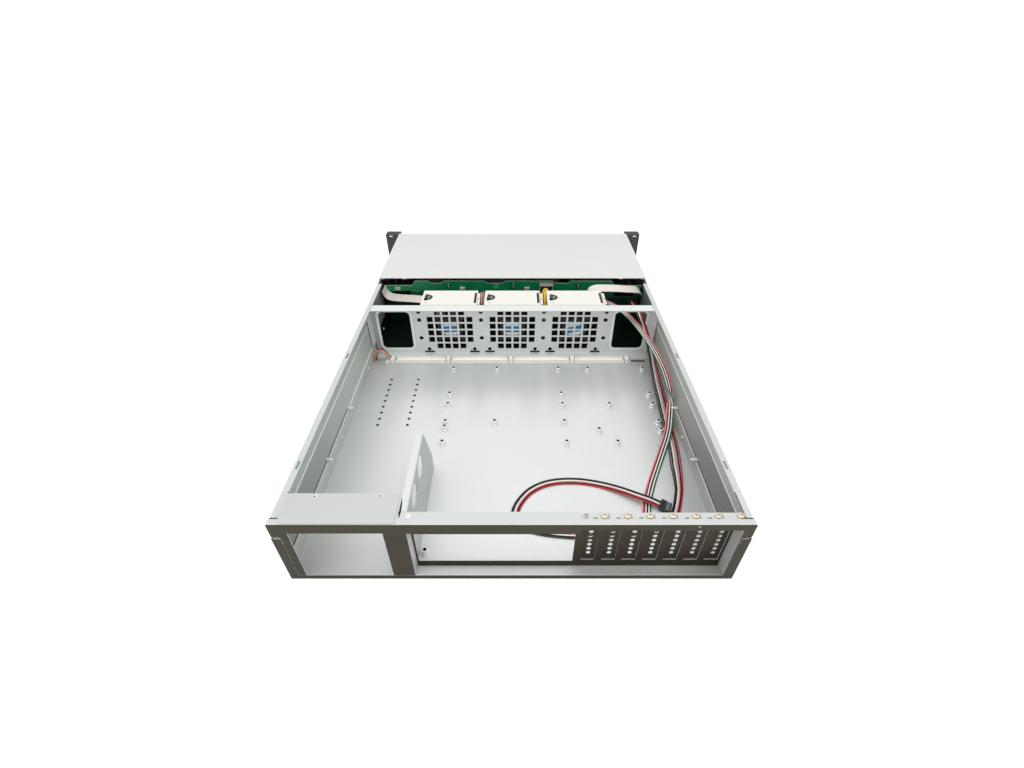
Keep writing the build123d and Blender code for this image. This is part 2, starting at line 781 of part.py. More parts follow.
with BuildPart() as backplane_connectors:
    # drive side: one socket behind every tray
    with BuildSketch(Plane.XZ.offset(-at(backplane_from_rear + board_sheet))):
        for x in bay_x:
            for height in tray_middle:
                with Locations((x, height)):
                    Rectangle(drive_socket[0], drive_socket[1])
                    Rectangle(drive_socket[0] - 5, drive_socket[1] - 3.4, mode=Mode.SUBTRACT)
    extrude(amount=drive_socket[2])
    with BuildSketch(Plane.XZ.offset(-at(backplane_from_rear + board_sheet))):
        for x in bay_x:
            for height in tray_middle:
                with Locations((x, height)):
                    Rectangle(drive_socket[0], drive_socket[1])
    extrude(amount=1)
    # fan side: the power block and the two headers of the front leads
    with BuildSketch(Plane.XZ.offset(-at(backplane_from_rear))):
        with Locations(power_block_at):
            Rectangle(power_block[0], power_block[1])
            Rectangle(power_block[0] - 3, power_block[1] - 3, mode=Mode.SUBTRACT)
    extrude(amount=-power_block[2])
    with BuildSketch(Plane.XZ.offset(-at(backplane_from_rear))):
        with Locations(power_block_at):
            Rectangle(power_block[0], power_block[1])
        with Locations(*lead_headers_at):
            Rectangle(lead_header[0], lead_header[1])
    extrude(amount=-lead_header[2])
save(backplane_connectors, "backplane_connectors")

# Drive trays, each with a lever across its front
tray_width = bay_pitch - bay_sheet - 2 * clearance
bezel_back = at(bezel_front - bezel_depth)
recess_depth = lever_back + lever_thickness
recess_half = tray_width / 2 - lever_end_margin
recess_height = lever_height + 2 * clearance
pin_x = -recess_half + lever_thickness / 2 + 2 * clearance  # from the tray's middle
pin_y = at(bezel_front) + lever_thickness / 2
lever_end = recess_half - lever_grip


def drive_tray(x, foot):
    """An open tray: two lipped rails, a rear tie and a bezel that is recessed for the lever."""
    middle = foot + tray_height / 2
    rail_x = (tray_width - tray_rail) / 2
    length = bezel_front - bezel_depth - tray_from_rear
    with BuildPart() as tray:
        with BuildSketch(Plane.XZ.offset(-at(tray_from_rear))):
            for side in (-1, 1):
                with Locations((x + side * rail_x, foot + tray_rail_height / 2)):
                    Rectangle(tray_rail, tray_rail_height)
                with Locations((x + side * (rail_x - tray_lip / 2), foot + tray_rail / 2)):
                    Rectangle(tray_lip, tray_rail)
        extrude(amount=length)
        with BuildSketch(Plane.XY.offset(foot)):
            with Locations((x, at(tray_from_rear + tray_lip / 2))):
                Rectangle(tray_width - tray_rail, tray_lip)
        extrude(amount=tray_rail)
        with BuildSketch(Plane.XZ.offset(-bezel_back)):
            with Locations((x, middle)):
                Rectangle(tray_width, tray_height)
                Rectangle(bezel_window_width, row_pitch - bezel_window_drop, mode=Mode.SUBTRACT)
        extrude(amount=bezel_depth)
        with BuildSketch(Plane.XZ.offset(-(at(bezel_front) + recess_depth))):
            with Locations((x, middle)):
                Rectangle(2 * recess_half, recess_height)
        extrude(amount=recess_depth, mode=Mode.SUBTRACT)
        reach = recess_height / 2 + lever_pin_reach + clearance
        with BuildSketch(Plane.XY.offset(middle - reach)):
            with Locations((x + pin_x, pin_y)):
                Circle(lever_pin_radius + lever_pin_play)
        extrude(amount=2 * reach, mode=Mode.SUBTRACT)
    return tray


def tray_lever(x, foot):
    """A barred lever on an upright pin; its free end leaves room for a finger."""
    middle = foot + tray_height / 2
    opening = (lever_end - pin_x - lever_thickness - 2 * lever_window_margin) / lever_windows - lever_bar
    with BuildPart() as lever:
        with BuildSketch(Plane.XY.offset(middle - lever_height / 2)):
            with Locations((x + pin_x, pin_y)):
                Circle(lever_thickness / 2)
            with Locations((x + (pin_x + lever_end) / 2, pin_y)):
                Rectangle(lever_end - pin_x, lever_thickness)
        extrude(amount=lever_height)
        with BuildSketch(Plane.XY.offset(middle - lever_height / 2 - lever_pin_reach)):
            with Locations((x + pin_x, pin_y)):
                Circle(lever_pin_radius)
        extrude(amount=lever_height + 2 * lever_pin_reach)
        with BuildSketch(Plane.XZ.offset(-(pin_y + lever_thickness / 2))):
            with Locations((x + (pin_x + lever_end) / 2, middle)):
                with GridLocations(opening + lever_bar, 1, lever_windows, 1):
                    RectangleRounded(opening, lever_height - 2 * lever_window_margin, lever_window_margin / 2)
        extrude(amount=lever_thickness, mode=Mode.SUBTRACT)
    return lever


for column, x in enumerate(bay_x, start=1):
    for row, height in enumerate(ledge_tops, start=1):
        save(drive_tray(x, height + clearance), f"tray_{column}_{row}")
        save(tray_lever(x, height + clearance), f"lever_{column}_{row}")

# Ears: cast flanges with two rack slots each, held by a leg inside the wall
ear_face_y = at(case_depth + ear_stand)
ear_out = half + ear_overhang
ear_back_y = ear_face_y + ear_depth
button_x = -(half + (ear_out - half) / 2)
button_heights = (power_button_height, reset_button_height)


def ear(side):
    leg_out = wall_inside - clearance
    leg_in = leg_out - ear_leg_sheet
    hole_x = side * (ear_out - rack_hole_in)
    holes = [(hole_x, height) for height in (rack_hole_drop, case_height - rack_hole_drop)]
    with BuildPart() as piece:
        with BuildSketch(Plane.XY):
            with BuildLine():
                Polyline(
                    (side * leg_in, ear_face_y),
                    (side * ear_out, ear_face_y),
                    (side * ear_out, ear_back_y),
                    (side * (half + clearance), ear_back_y),
                    (side * (half + clearance), lid_edge_y - clearance),
                    (side * leg_in, lid_edge_y - clearance),
                    close=True,
                )
            make_face()
        extrude(amount=case_height)
        fillet(
            piece.edges().filter_by(Axis.Z).group_by(Axis.Y)[0].sort_by(Axis.X)[-1 if side > 0 else 0],
            radius=3,
        )
        with BuildSketch(Plane.XY.offset(pan_flange + 2)):
            with Locations((side * (leg_in + leg_out) / 2, lid_edge_y + ear_leg / 2 - clearance)):
                Rectangle(ear_leg_sheet, ear_leg)
        extrude(amount=joggle_height - pan_flange - 4)
        # rack slots, with pockets that let the screw heads sink
        with BuildSketch(Plane.XZ.offset(-ear_back_y)):
            with Locations(*holes):
                SlotOverall(rack_slot[0], rack_slot[1])
        extrude(amount=ear_depth, mode=Mode.SUBTRACT)
        with BuildSketch(Plane.XZ.offset(-(ear_back_y - 4))):
            with Locations(*holes):
                RectangleRounded(rack_slot[0] + 4, rack_slot[1] + 2.6, 2)
        extrude(amount=ear_depth, mode=Mode.SUBTRACT)
        if side < 0:
            with BuildSketch(Plane.XZ.offset(-(ear_face_y + button_well))):
                for height in button_heights:
                    with Locations((button_x, height)):
                        Circle(button_radius + clearance)
            extrude(amount=button_well, mode=Mode.SUBTRACT)
    return piece


save(ear(-1), "left_ear")
save(ear(1), "right_ear")


def button(height):
    start = ear_face_y + button_well - button_travel - clearance
    with BuildPart() as piece:
        with BuildSketch(Plane.XZ.offset(-start)):
            with Locations((button_x, height)):
                Circle(button_radius)
        extrude(amount=start - ear_face_y - button_sink)
        chamfer(piece.faces().sort_by(Axis.Y)[0].edges(), length=0.5)
    return piece


save(button(power_button_height), "power_button")
save(button(reset_button_height), "reset_button")

# Rivets through the floor pan's sides
with BuildPart() as chassis_rivets:
    for side in (-1, 1):
        with BuildSketch(Plane.YZ.offset(side * (wall_inside - sheet))):
            for distance in (*rivets_at, case_depth - last_rivet_from_front):
                with Locations((at(distance), rivet_height)):
                    Circle(rivet_radius)
        extrude(amount=-side * 1.0)
save(chassis_rivets, "chassis_rivets")


def ribbon(name, start, angle, heights):
    """A flat cable: its line in an upright plane turned by this angle, and its width across it."""
    plane = Plane(
        origin=(start[0], start[1], 0),
        x_dir=(math.cos(math.radians(angle)), math.sin(math.radians(angle)), 0),
        z_dir=(math.sin(math.radians(angle)), -math.cos(math.radians(angle)), 0),
    )
    with BuildPart() as band:
        with BuildSketch(plane.offset(-ribbon_width / 2)):
            with BuildLine():
                FilletPolyline(*heights, radius=4)
                offset(amount=ribbon_thickness, side=Side.LEFT)
            make_face()
        extrude(amount=ribbon_width)
    save(band, name)


ribbon("ribbon_right", (203, at(462)), -13, ((4, 80), (0, 62), (-60, 58), (-84, 50), (-84, floor_top)))
ribbon("ribbon_left", (-205, at(458)), 11, ((0, 60), (40, 76), (66, 82), (86, 76), (86, floor_top)))


def lead(name, route):
    """A lead as a round tube along straight runs, each corner with as large an arc as it has room for."""
    points = [Vector(*point) for point in route]
    radii = []
    for before, corner, after in zip(points, points[1:], points[2:]):
        turn = (corner - before).get_angle(after - corner)
        shorter = min((corner - before).length, (after - corner).length)
        radii.append(0.45 * shorter / math.tan(math.radians(turn) / 2))
    with BuildPart() as tube:
        with BuildLine() as path:
            FilletPolyline(*points, radius=radii)
        with BuildSketch(Plane(origin=points[0], z_dir=points[1] - points[0])):
            Circle(lead_diameter / 2)
        sweep()
    length = path.wires()[0].length
    share = tube.part.volume / (length * math.pi * lead_diameter**2 / 4)
    print(name, "radii", [round(radius) for radius in radii])
    print(name, "length", round(length, 1), "volume share", round(share, 4))
    save(tube, name)


rest = floor_top + lead_diameter / 2
status_route = (
    (-146, -137.2, 58), (-146, -119, 58), (-154, -95, 66), (-172, -60, 69), (-188, -27, 62), (-202, 9, 52),
    (-209.5, 50, 45), (-210.5, 90, 35), (-206.5, 113, 20), (-201, 136, 8), (-188, 163, rest + 0.5),
    (-175, 190, rest), (-164, 213, rest), (-156, 232, rest), (-150.5, 247, rest + 0.3), (-147.5, 261, rest + 1.2),
)
switch_route = (
    (-199, -137.2, 46), (-199, -119, 46), (-196, -92, 60), (-194, -62, 66), (-200, -44, 52), (-207, -24, 34),
    (-210, 8, 23), (-211, 43, 14), (-211, 79, 7), (-209, 119, rest + 0.5), (-207, 159, rest),
    (-202, 193, rest), (-193, 225, rest), (-185, 248, rest), (-176, 266, rest), (-160, 278, rest),
    (-134, 284, rest), (-100, 286.5, rest), (-63, 286, rest), (-32, 282.5, rest), (-10, 275, rest),
    (-2, 259, rest), (-9, 241, rest), (-23, 224, rest), (-45, 213.5, rest), (-75, 211.5, rest),
    (-103, 217, rest), (-125, 227.5, rest + 3), (-142, 239, rest + 6.2), (-154, 244.6, rest + 6.5),
    (-164.5, 249, rest + 4),
)
lead("status_lead", status_route)
lead("switch_lead", switch_route)


def plug(name, route):
    """A two-row plug on the end of a lead, in line with its last run."""
    end, before = Vector(*route[-1]), Vector(*route[-2])
    along = (end - before).normalized()
    with BuildPart() as piece:
        with BuildSketch(Plane(origin=end, x_dir=Vector(0, 0, 1).cross(along), z_dir=along)):
            Rectangle(plug_size[1], plug_size[2])
        extrude(amount=plug_size[0])
        chamfer(piece.edges(), length=0.4)
    save(piece, name)


plug("status_plug", status_route)
plug("switch_plug", switch_route)


def fan_lead(points):
    """A short lead made fast at both ends."""
    with BuildPart() as tube:
        with BuildLine() as path:
            FilletPolyline(*points, radius=7)
        with BuildSketch(Plane(origin=points[0], z_dir=points[1] - points[0])):
            Circle(lead_diameter / 2)
        sweep()
    return tube.part


# Fan leads: the loop out of the trough's end, and the power lead from the backplane
# down between two carriers
trough_end = trough_x[1]
trough_lead = floor_top + trough_wall + lead_diameter / 2 + weld_gap
loop = fan_lead((
    Vector(trough_end - 14, at(trough_from_rear), trough_lead),
    Vector(trough_end - 5, at(trough_from_rear), trough_lead),
    Vector(trough_end + 3.5, at(trough_from_rear), 20),
    Vector(trough_end + 13.5, at(trough_from_rear + 0.6), 19),
    Vector(trough_end + 17, at(trough_from_rear + 1.6), floor_top + 2 * clearance),
))
block_face = backplane_from_rear - power_block[2]
gap_x = fan_x[0] + fan_pitch / 2 - 1.1
power = fan_lead((
    Vector(power_block_at[0], at(block_face), power_block_at[1]),
    Vector(power_block_at[0], at(block_face - 10), power_block_at[1]),
    Vector(gap_x - 1.4, at(block_face - 25), 84),
    Vector(gap_x, at(block_face - 43), 84),
    Vector(gap_x, at(block_face - 57), 62),
    Vector(gap_x, at(block_face - 57), floor_top + clearance),
))
with BuildPart() as fan_leads:
    add(loop)
    add(power)
save(fan_leads, "fan_leads")
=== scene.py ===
"""Dresses the rack server case: finishes, wires, labels, screws and the photographed view.

Everything is in metres in the CAD model's own frame: +Z up, the front towards -Y, the
open rear towards +Y. Sizes below are written in millimetres and turned by mm().
"""

import math

import bpy
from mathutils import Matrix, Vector


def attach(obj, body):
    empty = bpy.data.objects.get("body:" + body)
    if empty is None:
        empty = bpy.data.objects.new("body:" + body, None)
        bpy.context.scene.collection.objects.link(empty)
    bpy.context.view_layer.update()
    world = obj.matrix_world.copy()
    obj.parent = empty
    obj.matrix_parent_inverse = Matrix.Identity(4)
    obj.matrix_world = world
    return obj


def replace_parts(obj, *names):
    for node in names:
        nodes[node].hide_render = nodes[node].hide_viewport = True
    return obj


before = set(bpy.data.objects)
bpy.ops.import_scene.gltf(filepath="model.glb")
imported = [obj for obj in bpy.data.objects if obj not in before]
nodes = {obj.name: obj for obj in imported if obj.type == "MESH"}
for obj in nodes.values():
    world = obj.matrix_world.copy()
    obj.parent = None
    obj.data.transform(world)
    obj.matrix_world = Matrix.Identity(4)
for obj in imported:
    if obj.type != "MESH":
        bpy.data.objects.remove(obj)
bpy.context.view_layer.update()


def mm(value):
    """Millimetres in metres, for a number or for each number of a point."""
    if isinstance(value, (int, float)):
        return value / 1000
    return tuple(part / 1000 for part in value)


# Places of the case, in millimetres
rear_face = 333.8
sheet = 1.2
floor_top = sheet
case_top = 88.0
channel_top = case_top - sheet
inner_half = 206.0  # from the middle to the floor pan's sides
fan_wall_face = rear_face - 384
fan_wall_top = 84.0  # where its top flange starts to fold
backplane_face = rear_face - 475
fan_columns = (-95, 0, 95)
fan_height = 44.8


# Finishes


class Socket:
    """An output in a material. Arithmetic on it adds Math nodes."""

    def __init__(self, paint, link):
        self.paint = paint
        self.link = link

    def sum_of(self, operation, first, second=0.0):
        """The result of one Math node."""
        return self.paint.node("ShaderNodeMath", {"operation": operation}, {0: first, 1: second})

    def __add__(self, other):
        return self.sum_of("ADD", self, other)

    __radd__ = __add__

    def __sub__(self, other):
        return self.sum_of("SUBTRACT", self, other)

    def __rsub__(self, other):
        return self.sum_of("SUBTRACT", other, self)

    def __mul__(self, other):
        return self.sum_of("MULTIPLY", self, other)

    __rmul__ = __mul__

    def __truediv__(self, other):
        return self.sum_of("DIVIDE", self, other)

    def __gt__(self, other):
        return self.sum_of("GREATER_THAN", self, other)

    def __lt__(self, other):
        return self.sum_of("LESS_THAN", self, other)

    def __abs__(self):
        return self.sum_of("ABSOLUTE", self)

    def __pow__(self, other):
        return self.sum_of("POWER", self, other)

    def fraction(self):
        return self.sum_of("FRACT", self)

    def sine(self):
        return self.sum_of("SINE", self)


class Paint:
    """A material whose main shader's sockets take plain values or Socket links."""

    def __init__(self, name, colour, roughness=0.5, metallic=0.0, **constants):
        self.material = bpy.data.materials.new(name)
        self.material.use_nodes = True
        self.tree = self.material.node_tree
        self.shader = self.tree.nodes["Principled BSDF"]
        self.set("Base Color", colour)
        self.set("Roughness", roughness)
        self.set("Metallic", metallic)
        for socket, value in constants.items():
            self.set(socket.replace("_", " "), value)

    def set(self, socket, value):
        """Puts a number, a colour or a link on one of the main shader's sockets."""
        self.plug(self.shader.inputs[socket], value)

    def plug(self, target, value):
        """Links a socket to another, or gives it a plain value."""
        if isinstance(value, Socket):
            self.tree.links.new(value.link, target)
        elif isinstance(value, tuple) and len(value) == 3 and target.type == "RGBA":
            target.default_value = (*value, 1.0)
        else:
            target.default_value = value

    def node(self, kind, settings=None, inputs=None, output=0):
        """Adds a node: its settings first, then what its inputs read."""
        made = self.tree.nodes.new(kind)
        for name, value in (settings or {}).items():
            if name == "stops":
                ramp = made.color_ramp
                while len(ramp.elements) < len(value):
                    ramp.elements.new(0.5)
                for element, (position, colour) in zip(ramp.elements, value):
                    element.position = position
                    element.color = (*colour, 1.0)
            elif name == "interpolation":
                made.color_ramp.interpolation = value
            else:
                setattr(made, name, value)
        for name, value in (inputs or {}).items():
            self.plug(made.inputs[name], value)
        return Socket(self, made.outputs[output])

    def parts_of(self, vector):
        """X, Y and Z of a vector."""
        return [self.node("ShaderNodeSeparateXYZ", inputs={0: vector}, output=axis) for axis in range(3)]

    def place(self):
        """The point in the case's frame, in metres, and its X, Y and Z."""
        coordinates = self.node("ShaderNodeTexCoord", output="Object")
        return coordinates, self.parts_of(coordinates)

    def facing(self):
        """X, Y and Z of the surface's outward direction."""
        return self.parts_of(self.node("ShaderNodeTexCoord", output="Normal"))

    def across(self, map_name):
        """The first coordinate of the piece's own map of this name."""
        return self.parts_of(self.node("ShaderNodeUVMap", {"uv_map": map_name}))[0]

    def noise(self, size, detail=2.0, stretch=(1, 1, 1)):
        """Soft noise from 0 to 1 with features of this size in metres."""
        coordinates = self.node("ShaderNodeTexCoord", output="Object")
        mapped = self.node("ShaderNodeMapping", inputs={"Vector": coordinates, "Scale": stretch})
        settings = {"Vector": mapped, "Scale": 1 / size, "Detail": detail}
        return self.node("ShaderNodeTexNoise", inputs=settings, output="Fac")

    def mix(self, factor, first, second):
        """One colour or the other, by a factor from 0 to 1."""
        made = self.tree.nodes.new("ShaderNodeMix")
        made.data_type = "RGBA"
        for number, value in ((0, factor), (6, first), (7, second)):
            self.plug(made.inputs[number], value)
        return Socket(self, made.outputs[2])

    def grain(self, size, depth, detail=2.0, stretch=(1, 1, 1)):
        """Fine grain of this size and depth, in metres, as bumps."""
        height = self.noise(size, detail, stretch)
        settings = {"Strength": 0.6, "Distance": depth, "Height": height}
        self.set("Normal", self.node("ShaderNodeBump", inputs=settings))

    def within(self, value, low, high):
        """1 where the value, in metres, lies between two limits in millimetres."""
        return (value > mm(low)) * (value < mm(high))

    def slope(self, value, low, high, first=0.0, last=1.0, kind="LINEAR"):
        """From one number to the other, as the value passes between two limits in millimetres."""
        limits = {"From Min": mm(low), "From Max": mm(high), "To Min": first, "To Max": last}
        return self.node("ShaderNodeMapRange", {"interpolation_type": kind}, {"Value": value, **limits})

    def spot(self, first, second, centre, radius):
        """1 within this distance, in millimetres, of a point on the plane of two coordinates."""
        across, along = first - mm(centre[0]), second - mm(centre[1])
        return (across * across + along * along) ** 0.5 < mm(radius)


# Painted shade, put in gaps, slits, holes, undersides and behind parts
painted_shade = (0.02, 0.02, 0.018)
# Painted highlights on folds and on edges that catch the light
painted_fold_highlight = (0.93, 0.95, 0.94)
painted_edge_highlight = (0.97, 1.0, 0.98)


def sheet_steel(name, light, dark, roughness=0.42, metallic=0.3):
    """Zinc-plated sheet: cloudy, with a fine grain and painted highlights on its folds."""
    paint = Paint(name, light, roughness, metallic)
    clouds = paint.noise(0.12, 3.0)
    speckle = paint.noise(0.004, 1.0)
    paint.plain = paint.mix(clouds * 0.7 + speckle * 0.3, dark, light)
    paint.towards = paint.facing()
    paint.at = paint.place()[1]
    # Painted highlight on the bends between faces
    fold_highlight = (abs(paint.towards[0]) > 0.25) * (abs(paint.towards[2]) > 0.25)
    paint.plain = paint.mix(fold_highlight, paint.plain, painted_fold_highlight)
    paint.set("Base Color", paint.plain)
    paint.set("Roughness", roughness - 0.06 + 0.12 * clouds)
    paint.grain(0.0012, 0.00003)
    return paint


def cover(paint, mask, colour):
    """Puts a colour on a sheet's finish wherever the mask is 1."""
    paint.plain = paint.mix(mask, paint.plain, colour)
    paint.set("Base Color", paint.plain)


def paint_rear_reflection(paint, nearest_rear=100.0):
    """Painted brown-grey reflection and shade on the faces that look out at the rear, darker towards the
    foot.
    """
    paint.set("Specular IOR Level", 0.2)
    x, y, z = paint.at
    outward = (paint.towards[1] > 0.35) * (y > mm(rear_face - nearest_rear))
    # Painted reflection of a dark room, with painted shade lower down
    reflected_brown = paint.mix(paint.noise(0.05), (0.036, 0.030, 0.014), (0.050, 0.043, 0.021))
    reflected_brown = paint.mix(z > mm(72), (0.034, 0.026, 0.015), reflected_brown)
    cover(paint, outward, reflected_brown)


def paint_slit_shade(paint):
    """Painted shade in the slit between the power supply's top plate and its bracket."""
    x, y, z = paint.at
    swell = 1 - ((y - mm(314.3)) / mm(12.5)) ** 2
    middle = mm(101.4) - (y - mm(301)) * 0.06
    cover(paint, (abs(x - middle) < swell * mm(1.4)) * (z > mm(84)), painted_shade)


# The sheet steel finishes below are copies of one zinc sheet whose lightness differs as painted light and
# shade
steel = sheet_steel("zinc_sheet", (0.80, 0.82, 0.81), (0.72, 0.74, 0.73))
bay_steel = sheet_steel("zinc_sheet_bays", (0.70, 0.72, 0.71), (0.64, 0.66, 0.65))
# Painted shade on the bay dividers' parts near the backplane, deep in the bays
cover(bay_steel, bay_steel.at[1] > mm(backplane_face - 60), painted_shade)
lid_steel = sheet_steel("zinc_sheet_lid", (0.775, 0.785, 0.765), (0.73, 0.74, 0.72), 0.5)
# Painted shade on the lid's underside
cover(lid_steel, lid_steel.towards[2] < -0.5, painted_shade)
# The bracket's faces are painted darker and its upward faces lighter, as painted light and shade; the slit
# beside the plate is painted shade
bracket_steel = sheet_steel("zinc_sheet_bracket", (0.52, 0.55, 0.53), (0.47, 0.50, 0.48))
cover(bracket_steel, (bracket_steel.towards[2] > 0.6) * (bracket_steel.at[2] > mm(60)), (0.73, 0.76, 0.74))
paint_slit_shade(bracket_steel)


def floor_steel():
    """The floor pan: painted shade under the fans, where no light falls, and by the fan wall and the side
    walls, painted reflection streaks near the fans, painted highlights on the pan's side tops, painted shade
    by the trough and in the holes, and painted brown reflection on its rear sill.
    """
    paint = sheet_steel("zinc_sheet_floor", (0.83, 0.85, 0.84), (0.75, 0.77, 0.76))
    x, y, z = paint.at
    # Painted shade near the fan wall and the side walls, and painted reflection streaks near the fans
    lit = paint.slope(y, 20, 80, 0.35, 1.0, "SMOOTHSTEP")
    lit = lit * paint.slope(x, inner_half, 130, 0.3, 1.0, "SMOOTHSTEP")
    lit = lit * paint.slope(x, -inner_half, -150, 0.0, 1.0, "SMOOTHSTEP")
    painted_reflection_streaks = paint.slope(paint.noise(0.03, 1.0, (1.0, 0.12, 1.0)), 420, 600)
    lit = lit * (1 - painted_reflection_streaks * paint.slope(y, 0, 130, 0.55, 0.0))
    paint.plain = paint.mix(lit, (0.55, 0.57, 0.55), paint.plain)
    # Painted shade on the floor pan under the fans
    cover(paint, (y < mm(fan_wall_face - 1.5)) * (z > mm(0.6)), (0.005, 0.010, 0.006))
    # Painted shadow line on the floor beside the trough
    trough_shadow_line = paint.within(y, -20.6, -19.3) * (abs(x) < mm(inner_half))
    cover(paint, trough_shadow_line, (0.34, 0.36, 0.35))
    # Painted highlight on the top edges of the pan's sides
    pan_side_top_highlights = (z > mm(21.4)) * (y > mm(fan_wall_face))
    cover(paint, pan_side_top_highlights, painted_edge_highlight)
    # Painted shade on the floor beside the trough's end
    shade_beside_trough = paint.within(y, -31, -26) * paint.within(x, -inner_half, -183)
    cover(paint, shade_beside_trough, (0.12, 0.12, 0.11))
    # Painted shade on the walls of the floor pan's holes
    shaded_hole_walls = (abs(paint.towards[2]) < 0.4) * paint.within(z, 0.05, floor_top - 0.05)
    cover(paint, shaded_hole_walls * (abs(x) < mm(inner_half - 1)) * (y < mm(300)), painted_shade)
    paint_rear_reflection(paint, 2.0)
    return paint


def fan_wall_steel():
    """The fan wall: painted highlights on the raised rims round the windows, painted shade at the ends by
    the side walls, on the top flange's rear edge and in its holes and slots.
    """
    paint = sheet_steel("zinc_sheet_fan_wall", (0.82, 0.85, 0.83), (0.74, 0.77, 0.75))
    x, y, z = paint.at
    # Painted highlights on the raised rims
    rim_highlights = paint.within(y, fan_wall_face + 0.4, fan_wall_face + 1.6) * paint.within(z, 6, 82)
    cover(paint, rim_highlights, (0.97, 0.99, 0.97))
    at_plate = y < mm(fan_wall_face + 0.1)
    # Painted shade on the walls of the plate's holes
    shaded_hole_walls = (abs(paint.towards[1]) < 0.3) * at_plate * paint.within(z, 2.6, fan_wall_top)
    cover(paint, shaded_hole_walls, painted_shade)
    plate = (paint.towards[1] > 0.6) * at_plate
    # Painted shade at the end by the side wall
    shaded_end = plate * (x > mm(203.4)) * (z < mm(fan_wall_top))
    cover(paint, shaded_end, (0.45, 0.48, 0.46))
    # Painted shade on the top flange's rear edge
    shaded_flange_edge = (paint.towards[1] > 0.6) * (y > mm(fan_wall_face + 14)) * (z > mm(fan_wall_top))
    cover(paint, shaded_flange_edge, (0.58, 0.61, 0.59))
    # Dark holes and slots painted on the plate, as painted shade
    across = abs(x)
    for column in (47.5, 141):
        for height in (75.6, 61.8, 29.7):
            cover(paint, plate * paint.spot(across, z, (column, height), 3.2), painted_shade)
    for centre in fan_columns:
        beside = abs(x - mm(centre))
        cover(paint, plate * paint.spot(beside, z, (35.75, 9.05), 2.9), painted_shade)
        cover(paint, plate * (abs(beside - mm(35.5)) < mm(7.5)) * paint.within(z, 2.6, 5.9), painted_shade)
    return paint


step_height = 61.0  # where the side walls step in for the cover


def wall_steel(name, inside, light, dark, lit_upper_band):
    """A side wall: its inner face is painted darker as shade, with painted shade and reflection streaks,
    painted shade behind the fan wall and the backplane, over the floor pan's side and on the top flange, and
    a painted highlight at the cover's step.
    """
    paint = sheet_steel(name, (0.66, 0.69, 0.67), (0.60, 0.63, 0.61))
    x, y, z = paint.at
    inner = (paint.towards[0] * inside) > 0.6
    # Painted shade and reflection: the inner face is lighter towards the fan wall and darker towards the
    # rear, with reflection streaks
    painted_reflection_streaks = paint.noise(0.09, 3.0, (1.0, 0.35, 1.0))
    share = paint.slope(y, 290, 70, 0.0, 0.8, "SMOOTHSTEP") + painted_reflection_streaks * 0.2
    cover(paint, inner, paint.mix(share, dark, light))
    # Painted shade on the inner face behind the fan wall
    cover(paint, inner * (y < mm(fan_wall_face - 2)), (0.30, 0.33, 0.31))
    # Painted shade behind the backplane
    cover(paint, inner * (y < mm(backplane_face - 3)), painted_shade)
    # Painted light on the upper band above the step, and a painted highlight along the step
    upper = ((paint.towards[0] * inside) > 0.15) * (y > mm(fan_wall_face))
    cover(paint, upper * (z > mm(step_height)), lit_upper_band)
    cover(paint, upper * paint.within(z, step_height - 2.6, step_height), painted_edge_highlight)
    # Painted shade in the gap over the floor pan's side
    shade_over_pan = inner * paint.within(z, 22.2, 24.6) * (y > mm(104))
    cover(paint, shade_over_pan, painted_shade)
    # Painted shadow on the top flange by the rear and along its inner part near the plate
    flange = (paint.towards[2] > 0.6) * (z > mm(case_top - 2))
    cover(paint, flange * (y > mm(rear_face - 8)), painted_shade)
    cover(paint, flange * (abs(x) < mm(208.4)) * (y > mm(297)), painted_shade)
    paint_rear_reflection(paint, 2.0)
    return paint


def rear_steel():
    """The rear panel with painted brown-grey reflection on its rear faces and painted shade in the slit by
    the plate.
    """
    paint = sheet_steel("zinc_sheet_rear", (0.66, 0.68, 0.67), (0.61, 0.63, 0.62))
    paint_rear_reflection(paint)
    paint_slit_shade(paint)
    return paint


dash_pitch = 20.4
first_dash = -75.2


def cover_steel():
    """The slot covers: painted brown-grey reflection on their rear faces, painted shade in the slots between
    their screws and in thin lines beside them, and a painted shaded L at the ledge's step in the first one's
    corner.
    """
    paint = sheet_steel("zinc_sheet_covers", (0.66, 0.68, 0.67), (0.61, 0.63, 0.62))
    paint_rear_reflection(paint)
    x, y, z = paint.at
    upper = z > mm(83.5)
    inward = mm(rear_face) - y
    step = (mm(first_dash + dash_pitch / 2) - x) / mm(dash_pitch)
    # Painted shade in the slots between the screws
    slot_shade = (abs(step.fraction() - 0.5) < 0.09) * paint.within(inward, 9.1, 10.1)
    cover(paint, slot_shade * upper * (x > mm(-186)), (0.05, 0.045, 0.035))
    # Painted shade in thin lines beside the slots
    beside = (abs((step + 0.412).fraction() - 0.5) < 0.02) * paint.within(inward, 9.0, 13.5)
    cover(paint, beside * upper, (0.10, 0.09, 0.07))
    # Painted shade along the ledge's step, as an L
    foot = paint.within(x, -68.6, -65.5) * paint.within(inward, 13.3, 13.9)
    leg = paint.within(x, -68.7, -68.2) * paint.within(inward, 9.0, 13.9)
    cover(paint, (foot + leg) * upper, (0.06, 0.055, 0.045))
    return paint


def plate_steel():
    """The power supply's top plate: a painted highlight and painted shade on each of its two pressed
    dimples, and painted shade in the slit by its edge.
    """
    paint = sheet_steel("zinc_sheet_plate", (0.61, 0.63, 0.62), (0.56, 0.58, 0.57))
    x, y, z = paint.at
    # Painted highlight round each dimple and painted shade in its middle
    for centre in ((181.0, 303.1), (120.6, 302.4)):
        cover(paint, paint.spot(x, y, centre, 2.0), (0.80, 0.81, 0.80))
        cover(paint, paint.spot(x, y, (centre[0] + 0.3, centre[1] + 0.2), 1.0), (0.05, 0.05, 0.045))
    paint_slit_shade(paint)
    return paint


